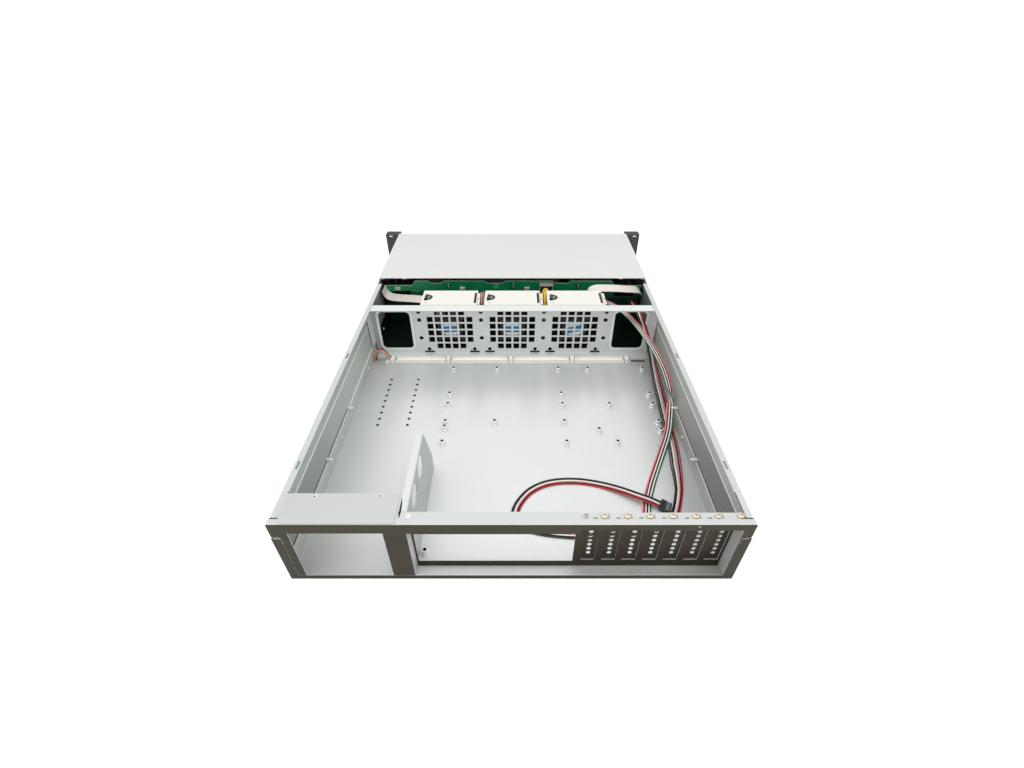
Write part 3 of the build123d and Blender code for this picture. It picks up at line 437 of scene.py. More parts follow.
moulded_white = (0.81, 0.80, 0.73)
ivory = (0.97, 0.97, 0.92)
fan_black = (0.012, 0.012, 0.014)
socket_black = (0.02, 0.02, 0.022)


def carrier_plastic():
    """Warm white carriers: painted shade in the finger hole, the latch slot and a small dash on top and at
    the foot, and a painted highlight streak in each finger hole.
    """
    paint = Paint("moulded_warm_white", moulded_white, 0.55)
    x, y, z = paint.place()[1]
    upper = z > mm(86.0)
    # Painted shade at the foot, and below, in the holes and slots on top
    shade_marks = z < mm(8)
    painted_reflection_streaks = 0.0
    for centre in fan_columns:
        across, along = (x - mm(centre + 38)) / mm(12), (y + mm(74.5)) / mm(10)
        shade_marks = shade_marks + (across * across + along * along < 1) * (across < 0) * upper
        shade_marks = shade_marks + paint.within(x, centre - 40.8, centre - 37.2) * paint.within(y, -89, -57) * upper
        shade_marks = shade_marks + paint.within(x, centre + 32, centre + 36.5) * paint.within(y, -58.2, -57.2) * upper
        # Painted highlight streak in each finger hole
        painted_reflection_streaks = paint.within(x, centre + 31, centre + 32.6) * paint.within(y, -79, -71) + painted_reflection_streaks
    colours = paint.mix(shade_marks > 0.5, moulded_white, (0.03, 0.034, 0.022))
    paint.set("Base Color", paint.mix(painted_reflection_streaks * upper, colours, (0.35, 0.36, 0.31)))
    paint.grain(0.0008, 0.00002)
    return paint


carrier_finish = carrier_plastic()


def trough_plastic():
    """The ivory trough: its clips are outlined, with painted shade in a small hole beside each, and its top
    is painted darker as shade towards its edges.
    """
    paint = Paint("moulded_ivory", ivory, 0.5)
    x, y, z = paint.place()[1]
    outlines, shade_marks = 0.0, 0.0
    for clip in (-176.2, -92.2, 2.6, 99.0, 184.6):
        outlines = paint.within(abs(x - mm(clip)), 3.0, 3.9) + outlines
        for aside in (10.5, -7.5):
            # Painted shade in a small hole beside each clip
            shade_marks = paint.spot(x, y, (clip + aside, fan_wall_face + 25), 1.4) + shade_marks
    colours = paint.mix(outlines, ivory, (0.22, 0.22, 0.19))
    colours = paint.mix(shade_marks, colours, (0.04, 0.04, 0.035))
    # Painted shade on the top towards its edges
    edges = abs(y - mm(fan_wall_face + 21.8)) > mm(4.9)
    paint.set("Base Color", paint.mix(edges * (paint.facing()[2] > 0.5) * 0.5, colours, (0.45, 0.45, 0.42)))
    paint.grain(0.0008, 0.00002)
    return paint


trough_finish = trough_plastic()


def fan_plastic():
    """Black moulding; each hub's round label is white with two blue bands."""
    paint = Paint("fan_plastic", fan_black, 0.45)
    x, y, z = paint.place()[1]
    colours = fan_black
    for centre, tilt in zip(fan_columns, (0.25, 0.0, 0.06)):
        label = paint.spot(x, z, (centre, fan_height), 13) * (y > mm(fan_wall_face - 1.62))
        up = z - mm(fan_height) + (x - mm(centre)) * tilt
        print_colours = paint.mix(paint.within(up, 4.8, 8.5), (0.76, 0.87, 0.92), (0.48, 0.74, 0.88))
        print_colours = paint.mix(paint.within(up, -6.0, 4.8), print_colours, (0.010, 0.20, 0.40))
        colours = paint.mix(label, colours, print_colours)
    paint.set("Base Color", colours)
    return paint


fan_finish = fan_plastic()


def circuit_board():
    """Green solder mask with copper tracks, small parts and a pale cut edge, with painted shade lower down,
    darkest at the foot, and painted shade along the very top and on the top faces.
    """
    paint = Paint("circuit_board", (0.0, 0.115, 0.03), 0.38)
    coordinates, (x, y, z) = paint.place()
    cells = paint.node(
        "ShaderNodeTexVoronoi",
        {"feature": "F1", "distance": "CHEBYCHEV"},
        {"Vector": coordinates, "Scale": 150.0, "Randomness": 0.85},
    )
    tracks = paint.noise(0.009, 3.0, (1.0, 1.0, 0.35))
    mask = paint.mix(tracks, (0.0, 0.170, 0.060), (0.0, 0.270, 0.105))
    mask = paint.mix((cells < 0.13) * 0.55, mask, (0.36, 0.44, 0.36))
    # Painted shade on the lower board, darkest at the foot
    mask = paint.mix(z < mm(61), mask, (0.0, 0.080, 0.035))
    mask = paint.mix(z < mm(50), mask, (0.0, 0.016, 0.008))
    ring = paint.spot(x, z, (27.4, 71), 3.9) - paint.spot(x, z, (27.4, 71), 2.8)
    mask = paint.mix(ring, mask, (0.25, 0.72, 0.12))
    edge = mm(74) + paint.slope(x, -167, -162, 0.0, mm(8)) - paint.slope(x, 159.5, 164.5, 0.0, mm(8))
    for low, high in ((117.5, 133.5), (17, 41), (-91, -70)):
        edge = edge - paint.slope(x, low - 5, low, 0.0, mm(4)) + paint.slope(x, high, high + 5, 0.0, mm(4))
    mask = paint.mix((edge - z < mm(2.2)) * 0.8, mask, (0.45, 0.66, 0.52))
    # Painted shade along the very top edge and on the top faces
    mask = paint.mix(edge - z < mm(1.0), mask, painted_shade)
    paint.set("Base Color", paint.mix(paint.facing()[2] > 0.5, mask, painted_shade))
    return paint


board_finish = circuit_board()


def board_plastics():
    """Black sockets towards the drives, and grey housings towards the fans."""
    paint = Paint("connector_plastic", (0.5, 0.5, 0.46), 0.4)
    x, y, z = paint.place()[1]
    low = paint.mix(z > mm(63), (0.03, 0.03, 0.03), (0.27, 0.27, 0.24))
    hollow = (abs(x + mm(55)) < mm(9.2)) * paint.within(z, 63.5, 76.5)
    low = paint.mix(hollow, low, (0.06, 0.035, 0.025))
    paint.set("Base Color", paint.mix(y > mm(backplane_face), socket_black, low))
    return paint


connector_finish = board_plastics()
socket_finish = Paint("socket_plastic", (0.52, 0.56, 0.48), 0.45)
socket_finish.grain(0.0006, 0.00001)
# The capacitors are black; the pale grey on their -X side is a painted highlight
sleeve_glint = (0.60, 0.64, 0.58)
capacitor_finish = Paint("capacitor_sleeve", sleeve_glint, 0.4)
away_from_glint = capacitor_finish.facing()[0] > -0.2
capacitor_finish.set("Base Color", capacitor_finish.mix(away_from_glint, sleeve_glint, (0.03, 0.05, 0.04)))
capacitor_finish.grain(0.0007, 0.00002)
ear_finish = Paint("ear_powder_coat", (0.030, 0.028, 0.027), 0.5)
ear_finish.grain(0.0009, 0.00004)
tray_finish = Paint("tray_powder_coat", (0.05, 0.05, 0.055), 0.5)
tray_finish.grain(0.0009, 0.00004)
lever_finish = Paint("lever_plastic", (0.03, 0.03, 0.034), 0.4)
lever_finish.grain(0.0008, 0.00002)
button_finish = Paint("button_plastic", (0.30, 0.31, 0.33), 0.25)
button_finish.grain(0.0006, 0.00001)
screw_finish = Paint("screw_metal", (0.80, 0.74, 0.60), 0.3, 0.6)
screw_finish.grain(0.0005, 0.00001)
bright_screw = Paint("bright_screw_metal", (0.90, 0.90, 0.87), 0.3, 0.4)
bright_screw.grain(0.0005, 0.00001)


def bored_metal():
    """Bright posts whose threaded bores are painted dark as shade; the piece's own map tells the bores."""
    bright = (0.86, 0.87, 0.85)
    paint = Paint("post_metal", bright, 0.3, 0.5)
    paint.set("Base Color", paint.mix(paint.across("bore"), bright, (0.01, 0.01, 0.01)))
    paint.grain(0.0006, 0.00002)
    return paint


post_finish = bored_metal()


def plug_plastic(name, end, before):
    """Black plug with the bright ends of its contacts in two rows near the open end."""
    paint = Paint(name, socket_black, 0.4)
    x, y, z = paint.place()[1]
    length = math.hypot(end[0] - before[0], end[1] - before[1])
    ahead = ((end[0] - before[0]) / length, (end[1] - before[1]) / length)
    along = (x - mm(end[0])) * ahead[0] + (y - mm(end[1])) * ahead[1]
    across = (y - mm(end[1])) * ahead[0] - (x - mm(end[0])) * ahead[1]
    contacts = (abs((across / mm(2.54)).fraction() - 0.5) > 0.36) * paint.within(along, 6.5, 10.5)
    paint.set("Base Color", paint.mix(contacts, socket_black, (0.50, 0.52, 0.56)))
    return paint


rib_count = 16
ribbon_finish = Paint("ribbon_plastic", (0.84, 0.80, 0.72), 0.45)
# Painted light and shade across the ribs, as stripes
ribs = (ribbon_finish.across("ribs") * (2 * math.pi * rib_count)).sine()
ribbon_finish.set("Base Color", ribbon_finish.mix(ribs * 0.5 + 0.5, (0.68, 0.64, 0.57), (0.83, 0.80, 0.73)))


wire_white = (0.95, 0.93, 0.87)
wire_black = (0.012, 0.010, 0.010)
wire_red = (0.52, 0.045, 0.065)
wire_dark_red = (0.28, 0.022, 0.035)
wire_pink = (0.80, 0.33, 0.33)
wire_mauve = (0.06, 0.06, 0.055)
wire_green = (0.0, 0.13, 0.06)
wire_yellow = (0.80, 0.55, 0.05)
wire_brown = (0.20, 0.075, 0.04)
wire_tan = (0.72, 0.40, 0.20)


def wire_jackets(name, colours):
    """Glossy wire jackets, one colour for each wire across the piece's own map."""
    paint = Paint(name, colours[0], 0.45, Specular_IOR_Level=0.2)
    stops = [(number / len(colours), colour) for number, colour in enumerate(colours)]
    settings = {"stops": stops, "interpolation": "CONSTANT"}
    paint.set("Base Color", paint.node("ShaderNodeValToRGB", settings, {0: paint.across("wires")}))
    return paint


def dress(names, paint):
    """Gives CAD nodes a finish."""
    for name in names:
        materials = nodes[name].data.materials
        if len(materials) == 0:
            materials.append(paint.material)
        for number in range(len(materials)):
            materials[number] = paint.material


tray_numbers = [f"{column}_{row}" for column in range(1, 5) for row in range(1, 4)]
dress(["chassis_rivets"], steel)
dress(["psu_bracket"], bracket_steel)
dress(["bay_dividers"], bay_steel)
dress(["fan_wall"], fan_wall_steel())
dress(["floor_pan"], floor_steel())
dress(["slot_covers"], cover_steel())
dress(["psu_top_plate"], plate_steel())
# The walls' inner light and dark colours and upper band colours are painted light and shade, set for each
# wall
for side, inside, light, dark, lit_upper_band in (
    ("left", 1, (0.48, 0.49, 0.47), (0.25, 0.26, 0.25), (0.54, 0.57, 0.55)),
    ("right", -1, (0.60, 0.63, 0.60), (0.33, 0.345, 0.33), (0.52, 0.55, 0.53)),
):
    dress([f"{side}_side_wall"], wall_steel(f"zinc_sheet_{side}_wall", inside, light, dark, lit_upper_band))
dress(["drive_lid"], lid_steel)
dress(["rear_panel"], rear_steel())
dress([f"fan_frame_{number}" for number in (1, 2, 3)], fan_finish)
dress([f"fan_rotor_{number}" for number in (1, 2, 3)], fan_finish)
dress([f"fan_carrier_{number}" for number in (1, 2, 3)], carrier_finish)
dress(["cable_trough"], trough_finish)
dress(["backplane"], board_finish)
dress(["backplane_connectors"], connector_finish)
dress(["left_ear", "right_ear"], ear_finish)
dress([f"tray_{number}" for number in tray_numbers], tray_finish)
dress([f"lever_{number}" for number in tray_numbers], lever_finish)
dress(["power_button", "reset_button"], button_finish)
dress(["board_standoffs"], post_finish)
dress(["slot_screws"], screw_finish)

# Modelling: small tools for blocks, pegs, cuts and copies


def deselect():
    bpy.ops.object.select_all(action="DESELECT")


def pick(piece):
    """Makes this piece the only selected one, and the active one."""
    deselect()
    piece.select_set(True)
    bpy.context.view_layer.objects.active = piece


def apply_place(piece):
    """Puts the piece's place, turn and size into its mesh."""
    pick(piece)
    bpy.ops.object.transform_apply(location=True, rotation=True, scale=True)


def soften(piece, width, angle=40):
    """Rounds the edges that turn by more than this angle."""
    bevel = piece.modifiers.new("edges", "BEVEL")
    bevel.width = mm(width)
    bevel.segments = 2
    bevel.limit_method = "ANGLE"
    bevel.angle_limit = math.radians(angle)
    pick(piece)
    bpy.ops.object.modifier_apply(modifier=bevel.name)


def block(name, low, high, rounding=0.0):
    """A block between two corners in millimetres."""
    deselect()
    middle = tuple((first + last) / 2 for first, last in zip(low, high))
    bpy.ops.mesh.primitive_cube_add(size=1, location=mm(middle))
    piece = bpy.context.object
    piece.name = name
    piece.scale = mm(tuple(last - first for first, last in zip(low, high)))
    apply_place(piece)
    if rounding:
        soften(piece, rounding)
    return piece


def peg(name, centre, radius, length, direction=(0, 0, 1), facets=24, rounding=0.0):
    """A round peg that starts at this centre and runs along a direction."""
    deselect()
    along = Vector(direction).normalized()
    middle = Vector(mm(centre)) + along * mm(length) / 2
    turn = along.to_track_quat("Z", "Y").to_euler()
    bpy.ops.mesh.primitive_cylinder_add(
        vertices=facets, radius=mm(radius), depth=mm(length), location=middle, rotation=turn
    )
    piece = bpy.context.object
    piece.name = name
    apply_place(piece)
    if rounding:
        soften(piece, rounding)
    return piece


def carve(piece, cutter):
    """Cuts one piece's shape out of another."""
    cut = piece.modifiers.new("cut", "BOOLEAN")
    cut.operation = "DIFFERENCE"
    cut.object = cutter
    pick(piece)
    bpy.ops.object.modifier_apply(modifier=cut.name)
    bpy.data.objects.remove(cutter)


def copied(piece, name, shift):
    """A copy with its own mesh, moved by millimetres."""
    mesh = piece.data.copy()
    twin = bpy.data.objects.new(name, mesh)
    bpy.context.scene.collection.objects.link(twin)
    twin.location = mm(shift)
    apply_place(twin)
    return twin


def joined(name, pieces):
    """The pieces as one, under a new name."""
    pick(pieces[0])
    for piece in pieces[1:]:
        piece.select_set(True)
    bpy.ops.object.join()
    pieces[0].name = name
    return pieces[0]


def fitted(piece, paint, body="case"):
    """Gives a piece its finish and the body that it moves with."""
    piece.data.materials.clear()
    piece.data.materials.append(paint.material)
    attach(piece, body)
    return piece


# Flat leads and ribbons


def smooth_line(name, points):
    """The points in metres along a smooth curve whose control points these are, in millimetres."""
    curve = bpy.data.curves.new(name, "CURVE")
    curve.dimensions = "3D"
    curve.resolution_u = 10
    spline = curve.splines.new("NURBS")
    spline.points.add(len(points) - 1)
    for point, place in zip(spline.points, points):
        point.co = (*mm(place), 1.0)
    spline.order_u = 3
    spline.use_endpoint_u = True
    holder = bpy.data.objects.new(name, curve)
    mesh = bpy.data.meshes.new_from_object(holder)
    line = [Vector(vertex.co) for vertex in mesh.vertices]
    bpy.data.meshes.remove(mesh)
    bpy.data.objects.remove(holder)
    bpy.data.curves.remove(curve)
    return line


def laid(line, lie=None):
    """At each point of a line: the wires' middle, their row's direction, and aside and up.

    For a point, lie() tells how far the wires are turned about the line, how wide they spread and
    how far they move aside and up.
    """
    frames = []
    for number, point in enumerate(line):
        ahead = line[min(number + 1, len(line) - 1)] - line[max(number - 1, 0)]
        along = ahead.normalized()
        side = along.cross(Vector((0, 0, 1))).normalized()
        over = side.cross(along)
        turn, spread, aside, lift = lie(point) if lie else (0.0, 1.0, 0.0, 0.0)
        centre = point + side * mm(aside) + over * mm(lift)
        row = side * math.cos(turn) + over * math.sin(turn)
        frames.append((centre, row * spread, side, over))
    return frames


def wire_bundle(name, frames, offsets, radius, paint, facets=8):
    """Round wires side by side; offsets are (across, up) of each wire, in metres."""
    vertices, faces, shares = [], [], []
    for wire, (across, rise) in enumerate(offsets):
        start = len(vertices)
        for point, row, side, over in frames:
            middle = point + row * across + over * rise
            for facet in range(facets):
                turn = 2 * math.pi * facet / facets
                vertices.append(middle + side * radius * math.cos(turn) + over * radius * math.sin(turn))
        for ring in range(len(frames) - 1):
            for facet in range(facets):
                low = start + ring * facets
                after = (facet + 1) % facets
                faces.append((low + facet, low + facets + facet, low + facets + after, low + after))
                shares.append((wire + 0.5) / len(offsets))
        faces.append(tuple(start + facet for facet in range(facets)))
        faces.append(tuple(start + (len(frames) - 1) * facets + facet for facet in reversed(range(facets))))
        shares += [(wire + 0.5) / len(offsets)] * 2
    mesh = bpy.data.meshes.new(name)
    mesh.from_pydata([tuple(vertex) for vertex in vertices], [], faces)
    layer = mesh.uv_layers.new(name="wires")
    for polygon, share in zip(mesh.polygons, shares):
        for loop in polygon.loop_indices:
            layer.data[loop].uv = (share, 0.5)
        polygon.use_smooth = len(polygon.vertices) == 4
    mesh.materials.append(paint.material)
    piece = bpy.data.objects.new(name, mesh)
    bpy.context.scene.collection.objects.link(piece)
    return piece


status_route = (
    (-146, -137.2, 58), (-146, -119, 58), (-154, -95, 66), (-172, -60, 69), (-188, -27, 62), (-202, 9, 52),
    (-209.5, 50, 45), (-210.5, 90, 35), (-206.5, 113, 20), (-201, 136, 8), (-188, 163, 3.2),
    (-175, 190, 2.7), (-164, 213, 2.7), (-156, 232, 2.7), (-150.5, 247, 3.0), (-147.5, 261, 3.9),
)
switch_route = (
    (-199, -137.2, 46), (-199, -119, 46), (-196, -92, 60), (-194, -62, 66), (-200, -44, 52), (-207, -24, 34),
    (-210, 8, 23), (-211, 43, 14), (-211, 79, 7), (-209, 119, 3.2), (-207, 159, 2.7),
    (-202, 193, 2.7), (-193, 225, 2.7), (-185, 248, 2.7), (-176, 266, 2.7), (-160, 278, 2.7),
    (-134, 284, 2.7), (-100, 286.5, 2.7), (-63, 286, 2.7), (-32, 282.5, 2.7), (-10, 275, 2.7),
    (-2, 259, 2.7), (-9, 241, 2.7), (-23, 224, 2.7), (-45, 213.5, 2.7), (-75, 211.5, 2.7),
    (-103, 217, 2.7), (-125, 227.5, 5.7), (-142, 239, 8.9), (-154, 244.6, 9.2), (-164.5, 249, 6.7),
)
flat_width = mm(10.1)
wire_pitch = mm(1.65)
wire_radius = mm(0.8)
fan_wire_radius = mm(0.95)
six_wires = [((number - 2.5) * wire_pitch, mm(-0.6)) for number in range(6)]


def passed(value, start, end):
    """0 before the start, 1 after the end and evenly between them."""
    return min(max((value - start) / (end - start), 0.0), 1.0)


def status_lie(point):
    """Half a turn over beside the wall."""
    return math.pi * passed(point.y, mm(80), mm(108)), 1.0, 0.0, 0.0


def looping(point):
    """Whether the point lies on the last stretch of the switches' lead, on its way back to the plug."""
    return point.x > mm(-168) and point.y < mm(252) and point.y > mm(205)


def switch_lie(point):
    """Held off the wall, spread wide over the floor beside it, and turned over behind the slot ledge."""
    along_wall = 1 - passed(point.y, mm(190), mm(225))
    beside = passed(point.y, mm(-30), mm(10)) * along_wall
    wide = passed(point.y, mm(-10), mm(40)) * along_wall
    if point.x > mm(-150):
        beside, wide = 0.0, 0.0
    if point.y > mm(262):
        half_turn = passed(point.x, mm(-150), mm(-70))
    else:
        half_turn = float(point.x > mm(-150) or looping(point))
    turn = math.pi * half_turn
    return turn, 1.0 + 0.5 * wide, 1.8 * beside + 2.0 * wide, 4.2 * math.sin(turn)


status_colours = wire_jackets(
    "status_wires", (wire_pink, wire_dark_red, wire_white, wire_black, wire_white, wire_green)
)
switch_colours = wire_jackets(
    "switch_wires", (wire_red, wire_black, wire_pink, wire_white, wire_black, wire_mauve)
)
for name, route, length, colours, plug, lie in (
    ("status_wires", status_route, 0.4344, status_colours, "status_plug", status_lie),
    ("switch_wires", switch_route, 0.8084, switch_colours, "switch_plug", switch_lie),
):
    frames = laid(smooth_line(name, route), lie)
    wires = wire_bundle(name, frames, six_wires, wire_radius, colours)
    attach(wires, "case")
    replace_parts(wires, name.replace("wires", "lead"))
    mm(route[0])

dress(["status_plug"], plug_plastic("status_plug_plastic", status_route[-1], status_route[-2]))
dress(["switch_plug"], plug_plastic("switch_plug_plastic", switch_route[-1], switch_route[-2]))


# The fans' wires: a loop out of the trough's end, and bundles in the gaps between the carriers
trough_end = 195.5
trough_y = -28.4
loop_points = (
    (trough_end - 14, trough_y, 4.6), (trough_end - 6, trough_y, 5), (trough_end - 2.5, trough_y, 13),
    (trough_end + 2.5, trough_y, 21), (trough_end + 10.5, trough_y - 0.6, 20.5),
    (trough_end + 15.5, trough_y - 1, 11), (trough_end + 16, trough_y - 1.6, 3.6),
)
power_points = (
    (-55, -129.2, 70), (-55, -121, 71), (-54.5, -113, 80), (-52.5, -105, 84.6), (-49.4, -95, 84.8),
    (-48.7, -84, 81), (-48.7, -76, 70), (-48.6, -72.5, 55), (-48.6, -72.2, 3.2),
)
middle_points = (
    (47.5, -108, 40), (47.5, -108, 62), (47.5, -103, 80), (46.6, -92, 85.5), (46.4, -80, 80),
    (46.4, -73, 62), (46.4, -72, 30),
)
loose_wires = [mm(offset) for offset in ((-2.1, 0), (-0.7, 1.2), (0.8, -0.2), (-0.4, -1.4), (2.1, 0.9))]
fan_wires = []
for name, points, colours in (
    ("loop_wires", loop_points, (wire_tan, wire_pink, wire_red, wire_brown, wire_black)),
    ("power_wires", power_points, (wire_yellow, wire_yellow, wire_black, wire_black, wire_yellow)),
    ("middle_wires", middle_points, (wire_tan, wire_brown, wire_white, wire_black, wire_brown)),
):
    paint = wire_jackets(name, colours)
    wires = wire_bundle(name, laid(smooth_line(name, points)), loose_wires, fan_wire_radius, paint)
    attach(wires, "case")
    fan_wires.append(wires)
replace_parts(joined("fan_wires", fan_wires), "fan_leads")


def ribbon_band(name, points, across, width=16.0, thickness=0.9):
    """A smooth flat cable along a line, its width laid along this direction."""
    line = smooth_line(name, points)
    across = Vector(across).normalized()
    vertices, faces = [], []
    strips = 4
    for number, point in enumerate(line):
        along = (line[min(number + 1, len(line) - 1)] - line[max(number - 1, 0)]).normalized()
        up = along.cross(across).normalized() * mm(thickness) / 2
        for side in (up, -up):
            for strip in range(strips + 1):
                vertices.append(point + across * mm(width) * (strip / strips - 0.5) + side)
    ring = 2 * (strips + 1)
    order = list(range(strips + 1)) + list(range(ring - 1, strips, -1))
    share_of = [strip / strips for strip in range(strips + 1)] * 2
    for number in range(len(line) - 1):
        for first, second in zip(order, order[1:] + order[:1]):
            low, high = number * ring, (number + 1) * ring
            faces.append((low + first, low + second, high + second, high + first))
    faces.append(tuple(reversed(order)))
    faces.append(tuple((len(line) - 1) * ring + corner for corner in order))
    mesh = bpy.data.meshes.new(name)
    mesh.from_pydata([tuple(vertex) for vertex in vertices], [], faces)
    layer = mesh.uv_layers.new(name="ribs")
    for loop in mesh.loops:
        layer.data[loop.index].uv = (share_of[loop.vertex_index % ring], 0.5)
    piece = bpy.data.objects.new(name, mesh)
    bpy.context.scene.collection.objects.link(piece)
    pick(piece)
    bpy.ops.object.mode_set(mode="EDIT")
    bpy.ops.mesh.select_all(action="SELECT")
    bpy.ops.mesh.normals_make_consistent(inside=False)
    bpy.ops.object.mode_set(mode="OBJECT")
    bpy.ops.object.shade_smooth_by_angle(angle=math.radians(35))
    return fitted(piece, ribbon_finish)


right_band = ribbon_band("ribbon_right_band", (
    (208, -127, 74), (209, -134, 64), (203, -132, 57), (186, -127, 57), (160, -120.5, 59.5), (138, -115, 60),
    (123, -110.5, 54), (120.5, -109, 40), (120.5, -109, 3),
), (0.21, 0.93, -0.26))
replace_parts(right_band, "ribbon_right")
left_band = ribbon_band("ribbon_left_band", (
    (-208.5, -131, 66), (-206, -130, 71), (-188, -124.5, 74.5), (-167, -118.5, 79), (-146, -113, 82.5),
    (-130, -110, 83.5), (-121.5, -108, 79), (-120, -107.5, 66), (-120, -107.5, 3),
), (-0.19, 0.93, -0.26))
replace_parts(left_band, "ribbon_left")


def select_faces(piece, wanted):
    """Opens the piece in edit mode with the faces selected whose middle and direction pass a test."""
    pick(piece)
    for polygon in piece.data.polygons:
        polygon.select = wanted(polygon.center, polygon.normal)
    for edge in piece.data.edges:
        edge.select = False
    for vertex in piece.data.vertices:
        vertex.select = False
    bpy.ops.object.mode_set(mode="EDIT")
    bpy.ops.mesh.select_mode(type="FACE")


# Mainboard posts: turned, with a wide foot pressed into the floor and a threaded bore painted dark as shade.
# Rows are counted from the rear face.
post_rows = (27.1, 182.04, 254.43)
post_columns = (88.5, -68.98, -193.44)
posts_at = [(x, row) for row in (post_rows[0], post_rows[2]) for x in post_columns]
posts_at += [(x, post_rows[1]) for x in post_columns[:2]]
posts_at += [
    (-112.9, 204.5), (-193.4, 204.0), (88.5, 209.6), (-133.4, 182.0), (88.5, 220.0), (23.4, 220.0),
    (-69.0, 220.0), (-193.4, 220.0), (-133.4, 254.4), (88.5, 277.3), (-69.0, 277.3), (-193.4, 277.3),
    (88.5, 336.2), (23.4, 336.2), (-69.0, 336.2), (-112.9, 336.2), (-196.0, 336.2),
]


def bored_post(x, y):
    """One post: a peg whose top is inset and pushed down to make the bore."""
    post = peg("board_post", (x, y, floor_top), 3.4, 6.8, facets=20)
    select_faces(post, lambda middle, normal: normal.z > 0.9)
    bpy.ops.mesh.inset(thickness=mm(0.5))
    bpy.ops.transform.translate(value=(0, 0, mm(0.4)))
    bpy.ops.mesh.inset(thickness=mm(1.0))
    bpy.ops.mesh.extrude_region_move(TRANSFORM_OT_translate={"value": (0, 0, -mm(5))})
    bpy.ops.object.mode_set(mode="OBJECT")
    layer = post.data.uv_layers.new(name="bore")
    for polygon in post.data.polygons:
        reach = math.hypot(polygon.center.x - mm(x), polygon.center.y - mm(y))
        inside = reach < mm(2.05) and polygon.center.z < mm(floor_top + 6.9)
        for loop in polygon.loop_indices:
            layer.data[loop].uv = (float(inside), 0.5)
    foot = peg("foot", (x, y, floor_top), 4.7, 1.5, facets=20, rounding=0.5)
    foot.data.uv_layers.new(name="bore")
    for loop in foot.data.uv_layers["bore"].data:
        loop.uv = (0.0, 0.5)
    return joined("board_post", [post, foot])


first_post = bored_post(posts_at[0][0], rear_face - posts_at[0][1])
posts = [first_post]
for x, row in posts_at[1:]:
    posts.append(copied(first_post, "board_post", (x - posts_at[0][0], posts_at[0][1] - row, 0)))
board_posts = joined("board_posts", posts)
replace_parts(fitted(board_posts, post_finish), "board_standoffs")

# Slot screws: cross-recessed heads on washers
slot_pitch = 20.32
first_screw = (-83.2, rear_face - 10.8)
ledge_drop = 3.4
cover_tab = 0.9
tab_top = channel_top - ledge_drop + cover_tab


def cross_head(name, x, y, z, radius, height):
    """A rounded screw head with a cross recess."""
    head = peg(name, (x, y, z), radius, height, rounding=height * 0.35)
    depth = height * 0.55
    for wide, long in ((radius * 0.28, radius * 1.15), (radius * 1.15, radius * 0.28)):
        low = (x - wide / 2, y - long / 2, z + height - depth)
        high = (x + wide / 2, y + long / 2, z + height + 1)
        carve(head, block("recess", low, high))
    return head


washer_height = 0.9
washer = peg("washer", (*first_screw, tab_top), 3.75, washer_height, facets=20, rounding=0.2)
head = cross_head("slot_screw", *first_screw, tab_top + washer_height, 3.0, 2.2)
screw = joined("slot_screw", [head, washer])
screws = [screw]
for number in range(1, 7):
    screws.append(copied(screw, "slot_screw", (-number * slot_pitch, 0, 0)))
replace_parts(fitted(joined("slot_screw_heads", screws), screw_finish), "slot_screws")
bracket_screw = cross_head("bracket_screw", 91.9, rear_face - 9.3, channel_top, 2.6, 1.2)
fitted(bracket_screw, bright_screw)

# Half-round lugs pressed out of the side walls above the floor pan's sides
for side, name in ((-1, "left_wall_lugs"), (1, "right_wall_lugs")):
    lugs = []
    for distance in (134.9, 225.8):
        deselect()
        bpy.ops.mesh.primitive_uv_sphere_add(
            segments=20, ring_count=10, radius=1, location=mm((side * 215.6, rear_face - distance, 24.6))
        )
        lug = bpy.context.object
        lug.scale = mm((8.0, 2.4, 1.5))
        apply_place(lug)
        bpy.ops.object.shade_smooth()
        lugs.append(lug)
    fitted(joined(name, lugs), steel)

# Latch arms beside the fan carriers, and the thin wall that closes each finger hole
carrier_half = 42.3
for number, centre in enumerate(fan_columns, start=1):
    outer = centre - carrier_half
    arm = block(f"carrier_latch_{number}", (outer - 3.4, -88, 62), (outer - 0.4, -54.5, 86.9), 0.6)
    carve(arm, block("notch", (outer - 4, -72, 84.6), (outer + 1, -66, 88)))
    inner = centre + carrier_half
    rim = block("rim", (inner - 3.6, -79.5, 84.9), (inner - 0.2, -63.5, 86.7), 0.3)
    fitted(joined(f"carrier_latch_{number}", [arm, rim]), carrier_finish)

# Parts on the backplane, seen above the carriers
for number, x in enumerate((188.4, 82.3, -23.7), start=1):
    low, high = (x - 4.2, backplane_face, 66), (x + 4.2, backplane_face + 4, 70)
    housing = block(f"board_socket_{number}", low, high, 0.3)
    for side in (-1, 1):
        cavity = x + side * 1.9
        low = (cavity - 1.1, backplane_face + 2, 67)
        carve(housing, block("cavity", low, (cavity + 1.1, backplane_face + 5, 69.1)))
    fitted(housing, socket_finish)
for number, x in enumerate((106.1, -0.1, -106.2), start=1):
    foot = (x, backplane_face + 1.9, 70)
    capacitor = peg(f"board_capacitor_{number}", foot, 1.7, 7.5, facets=16, rounding=0.4)
    fitted(capacitor, capacitor_finish)

# Floor, light and view


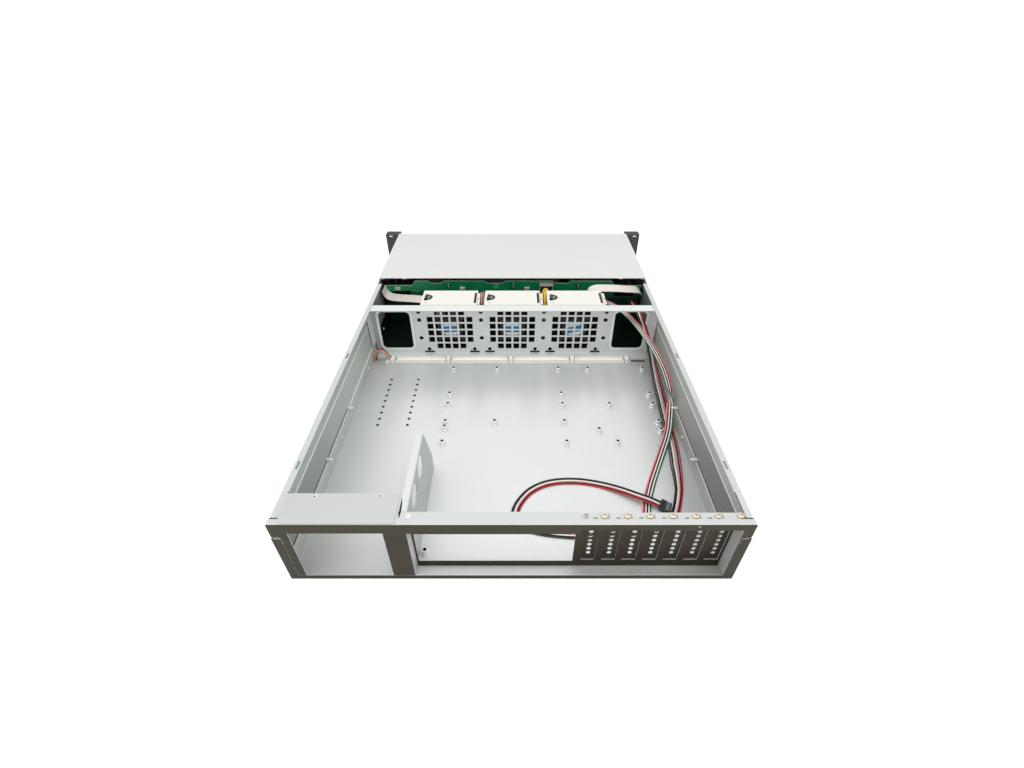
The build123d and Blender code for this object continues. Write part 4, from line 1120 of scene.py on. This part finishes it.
def plain_floor():
    """A wide floor that shows white and keeps the case's shadow. Under the case it is painted dark as shade,
    seen through the floor pan's holes.
    """
    deselect()
    bpy.ops.mesh.primitive_plane_add(size=90, location=(0, 0, -0.0005))
    floor = bpy.context.object
    floor.name = "floor"
    floor_white = (0.96, 0.96, 0.96)
    paint = Paint("floor_white", floor_white, 0.9)
    x, y, z = paint.place()[1]
    seen = 0.0
    for ray in ("Is Camera Ray", "Is Glossy Ray", "Is Transmission Ray"):
        seen = paint.node("ShaderNodeLightPath", output=ray) + seen
    shaded_under_case = (abs(x) < mm(210)) * (abs(y) < mm(320))
    paint.set("Base Color", paint.mix(shaded_under_case, floor_white, (0.01, 0.01, 0.01)))
    paint.set("Emission Color", paint.mix(seen * (1 - shaded_under_case), (0, 0, 0), (0.36, 0.36, 0.36)))
    paint.set("Emission Strength", 1.0)
    floor.data.materials.append(paint.material)


plain_floor()

world = bpy.data.worlds.new("studio")
bpy.context.scene.world = world
world.use_nodes = True
sky = world.node_tree
light_path = sky.nodes.new("ShaderNodeLightPath")
background = sky.nodes["Background"]
background.inputs["Color"].default_value = (1, 1, 1, 1)
strength = sky.nodes.new("ShaderNodeMapRange")
sky.links.new(light_path.outputs["Is Camera Ray"], strength.inputs["Value"])
strength.inputs["To Min"].default_value = 0.85
strength.inputs["To Max"].default_value = 1.0
sky.links.new(strength.outputs["Result"], background.inputs["Strength"])


def soft_light(name, place, aim, size, power):
    """A round area lamp that looks at a point."""
    lamp = bpy.data.lights.new(name, "AREA")
    lamp.energy = power
    lamp.shape = "DISK"
    lamp.size = size
    holder = bpy.data.objects.new(name, lamp)
    bpy.context.scene.collection.objects.link(holder)
    holder.location = place
    holder.rotation_euler = (Vector(aim) - Vector(place)).to_track_quat("-Z", "Y").to_euler()


soft_light("overhead", (0.0, 0.35, 1.7), (0, 0.1, 0), 1.3, 10.6)

# The photograph's camera: its focal length and its shift are in pixels of the picture's width
picture_width = 1024
focal_pixels = 494
shift_pixels = -1.7
looks_down = 38.66
camera = bpy.data.cameras.new("camera")
camera.sensor_width = 36
camera.lens = focal_pixels / picture_width * camera.sensor_width
camera.shift_x = shift_pixels / picture_width
viewer = bpy.data.objects.new("camera", camera)
bpy.context.scene.collection.objects.link(viewer)
viewer.location = mm((-2, 593.65, 453))
viewer.rotation_euler = (math.radians(90 - looks_down), 0, math.radians(180))
bpy.context.scene.camera = viewer
bpy.context.scene.view_settings.view_transform = "Standard"
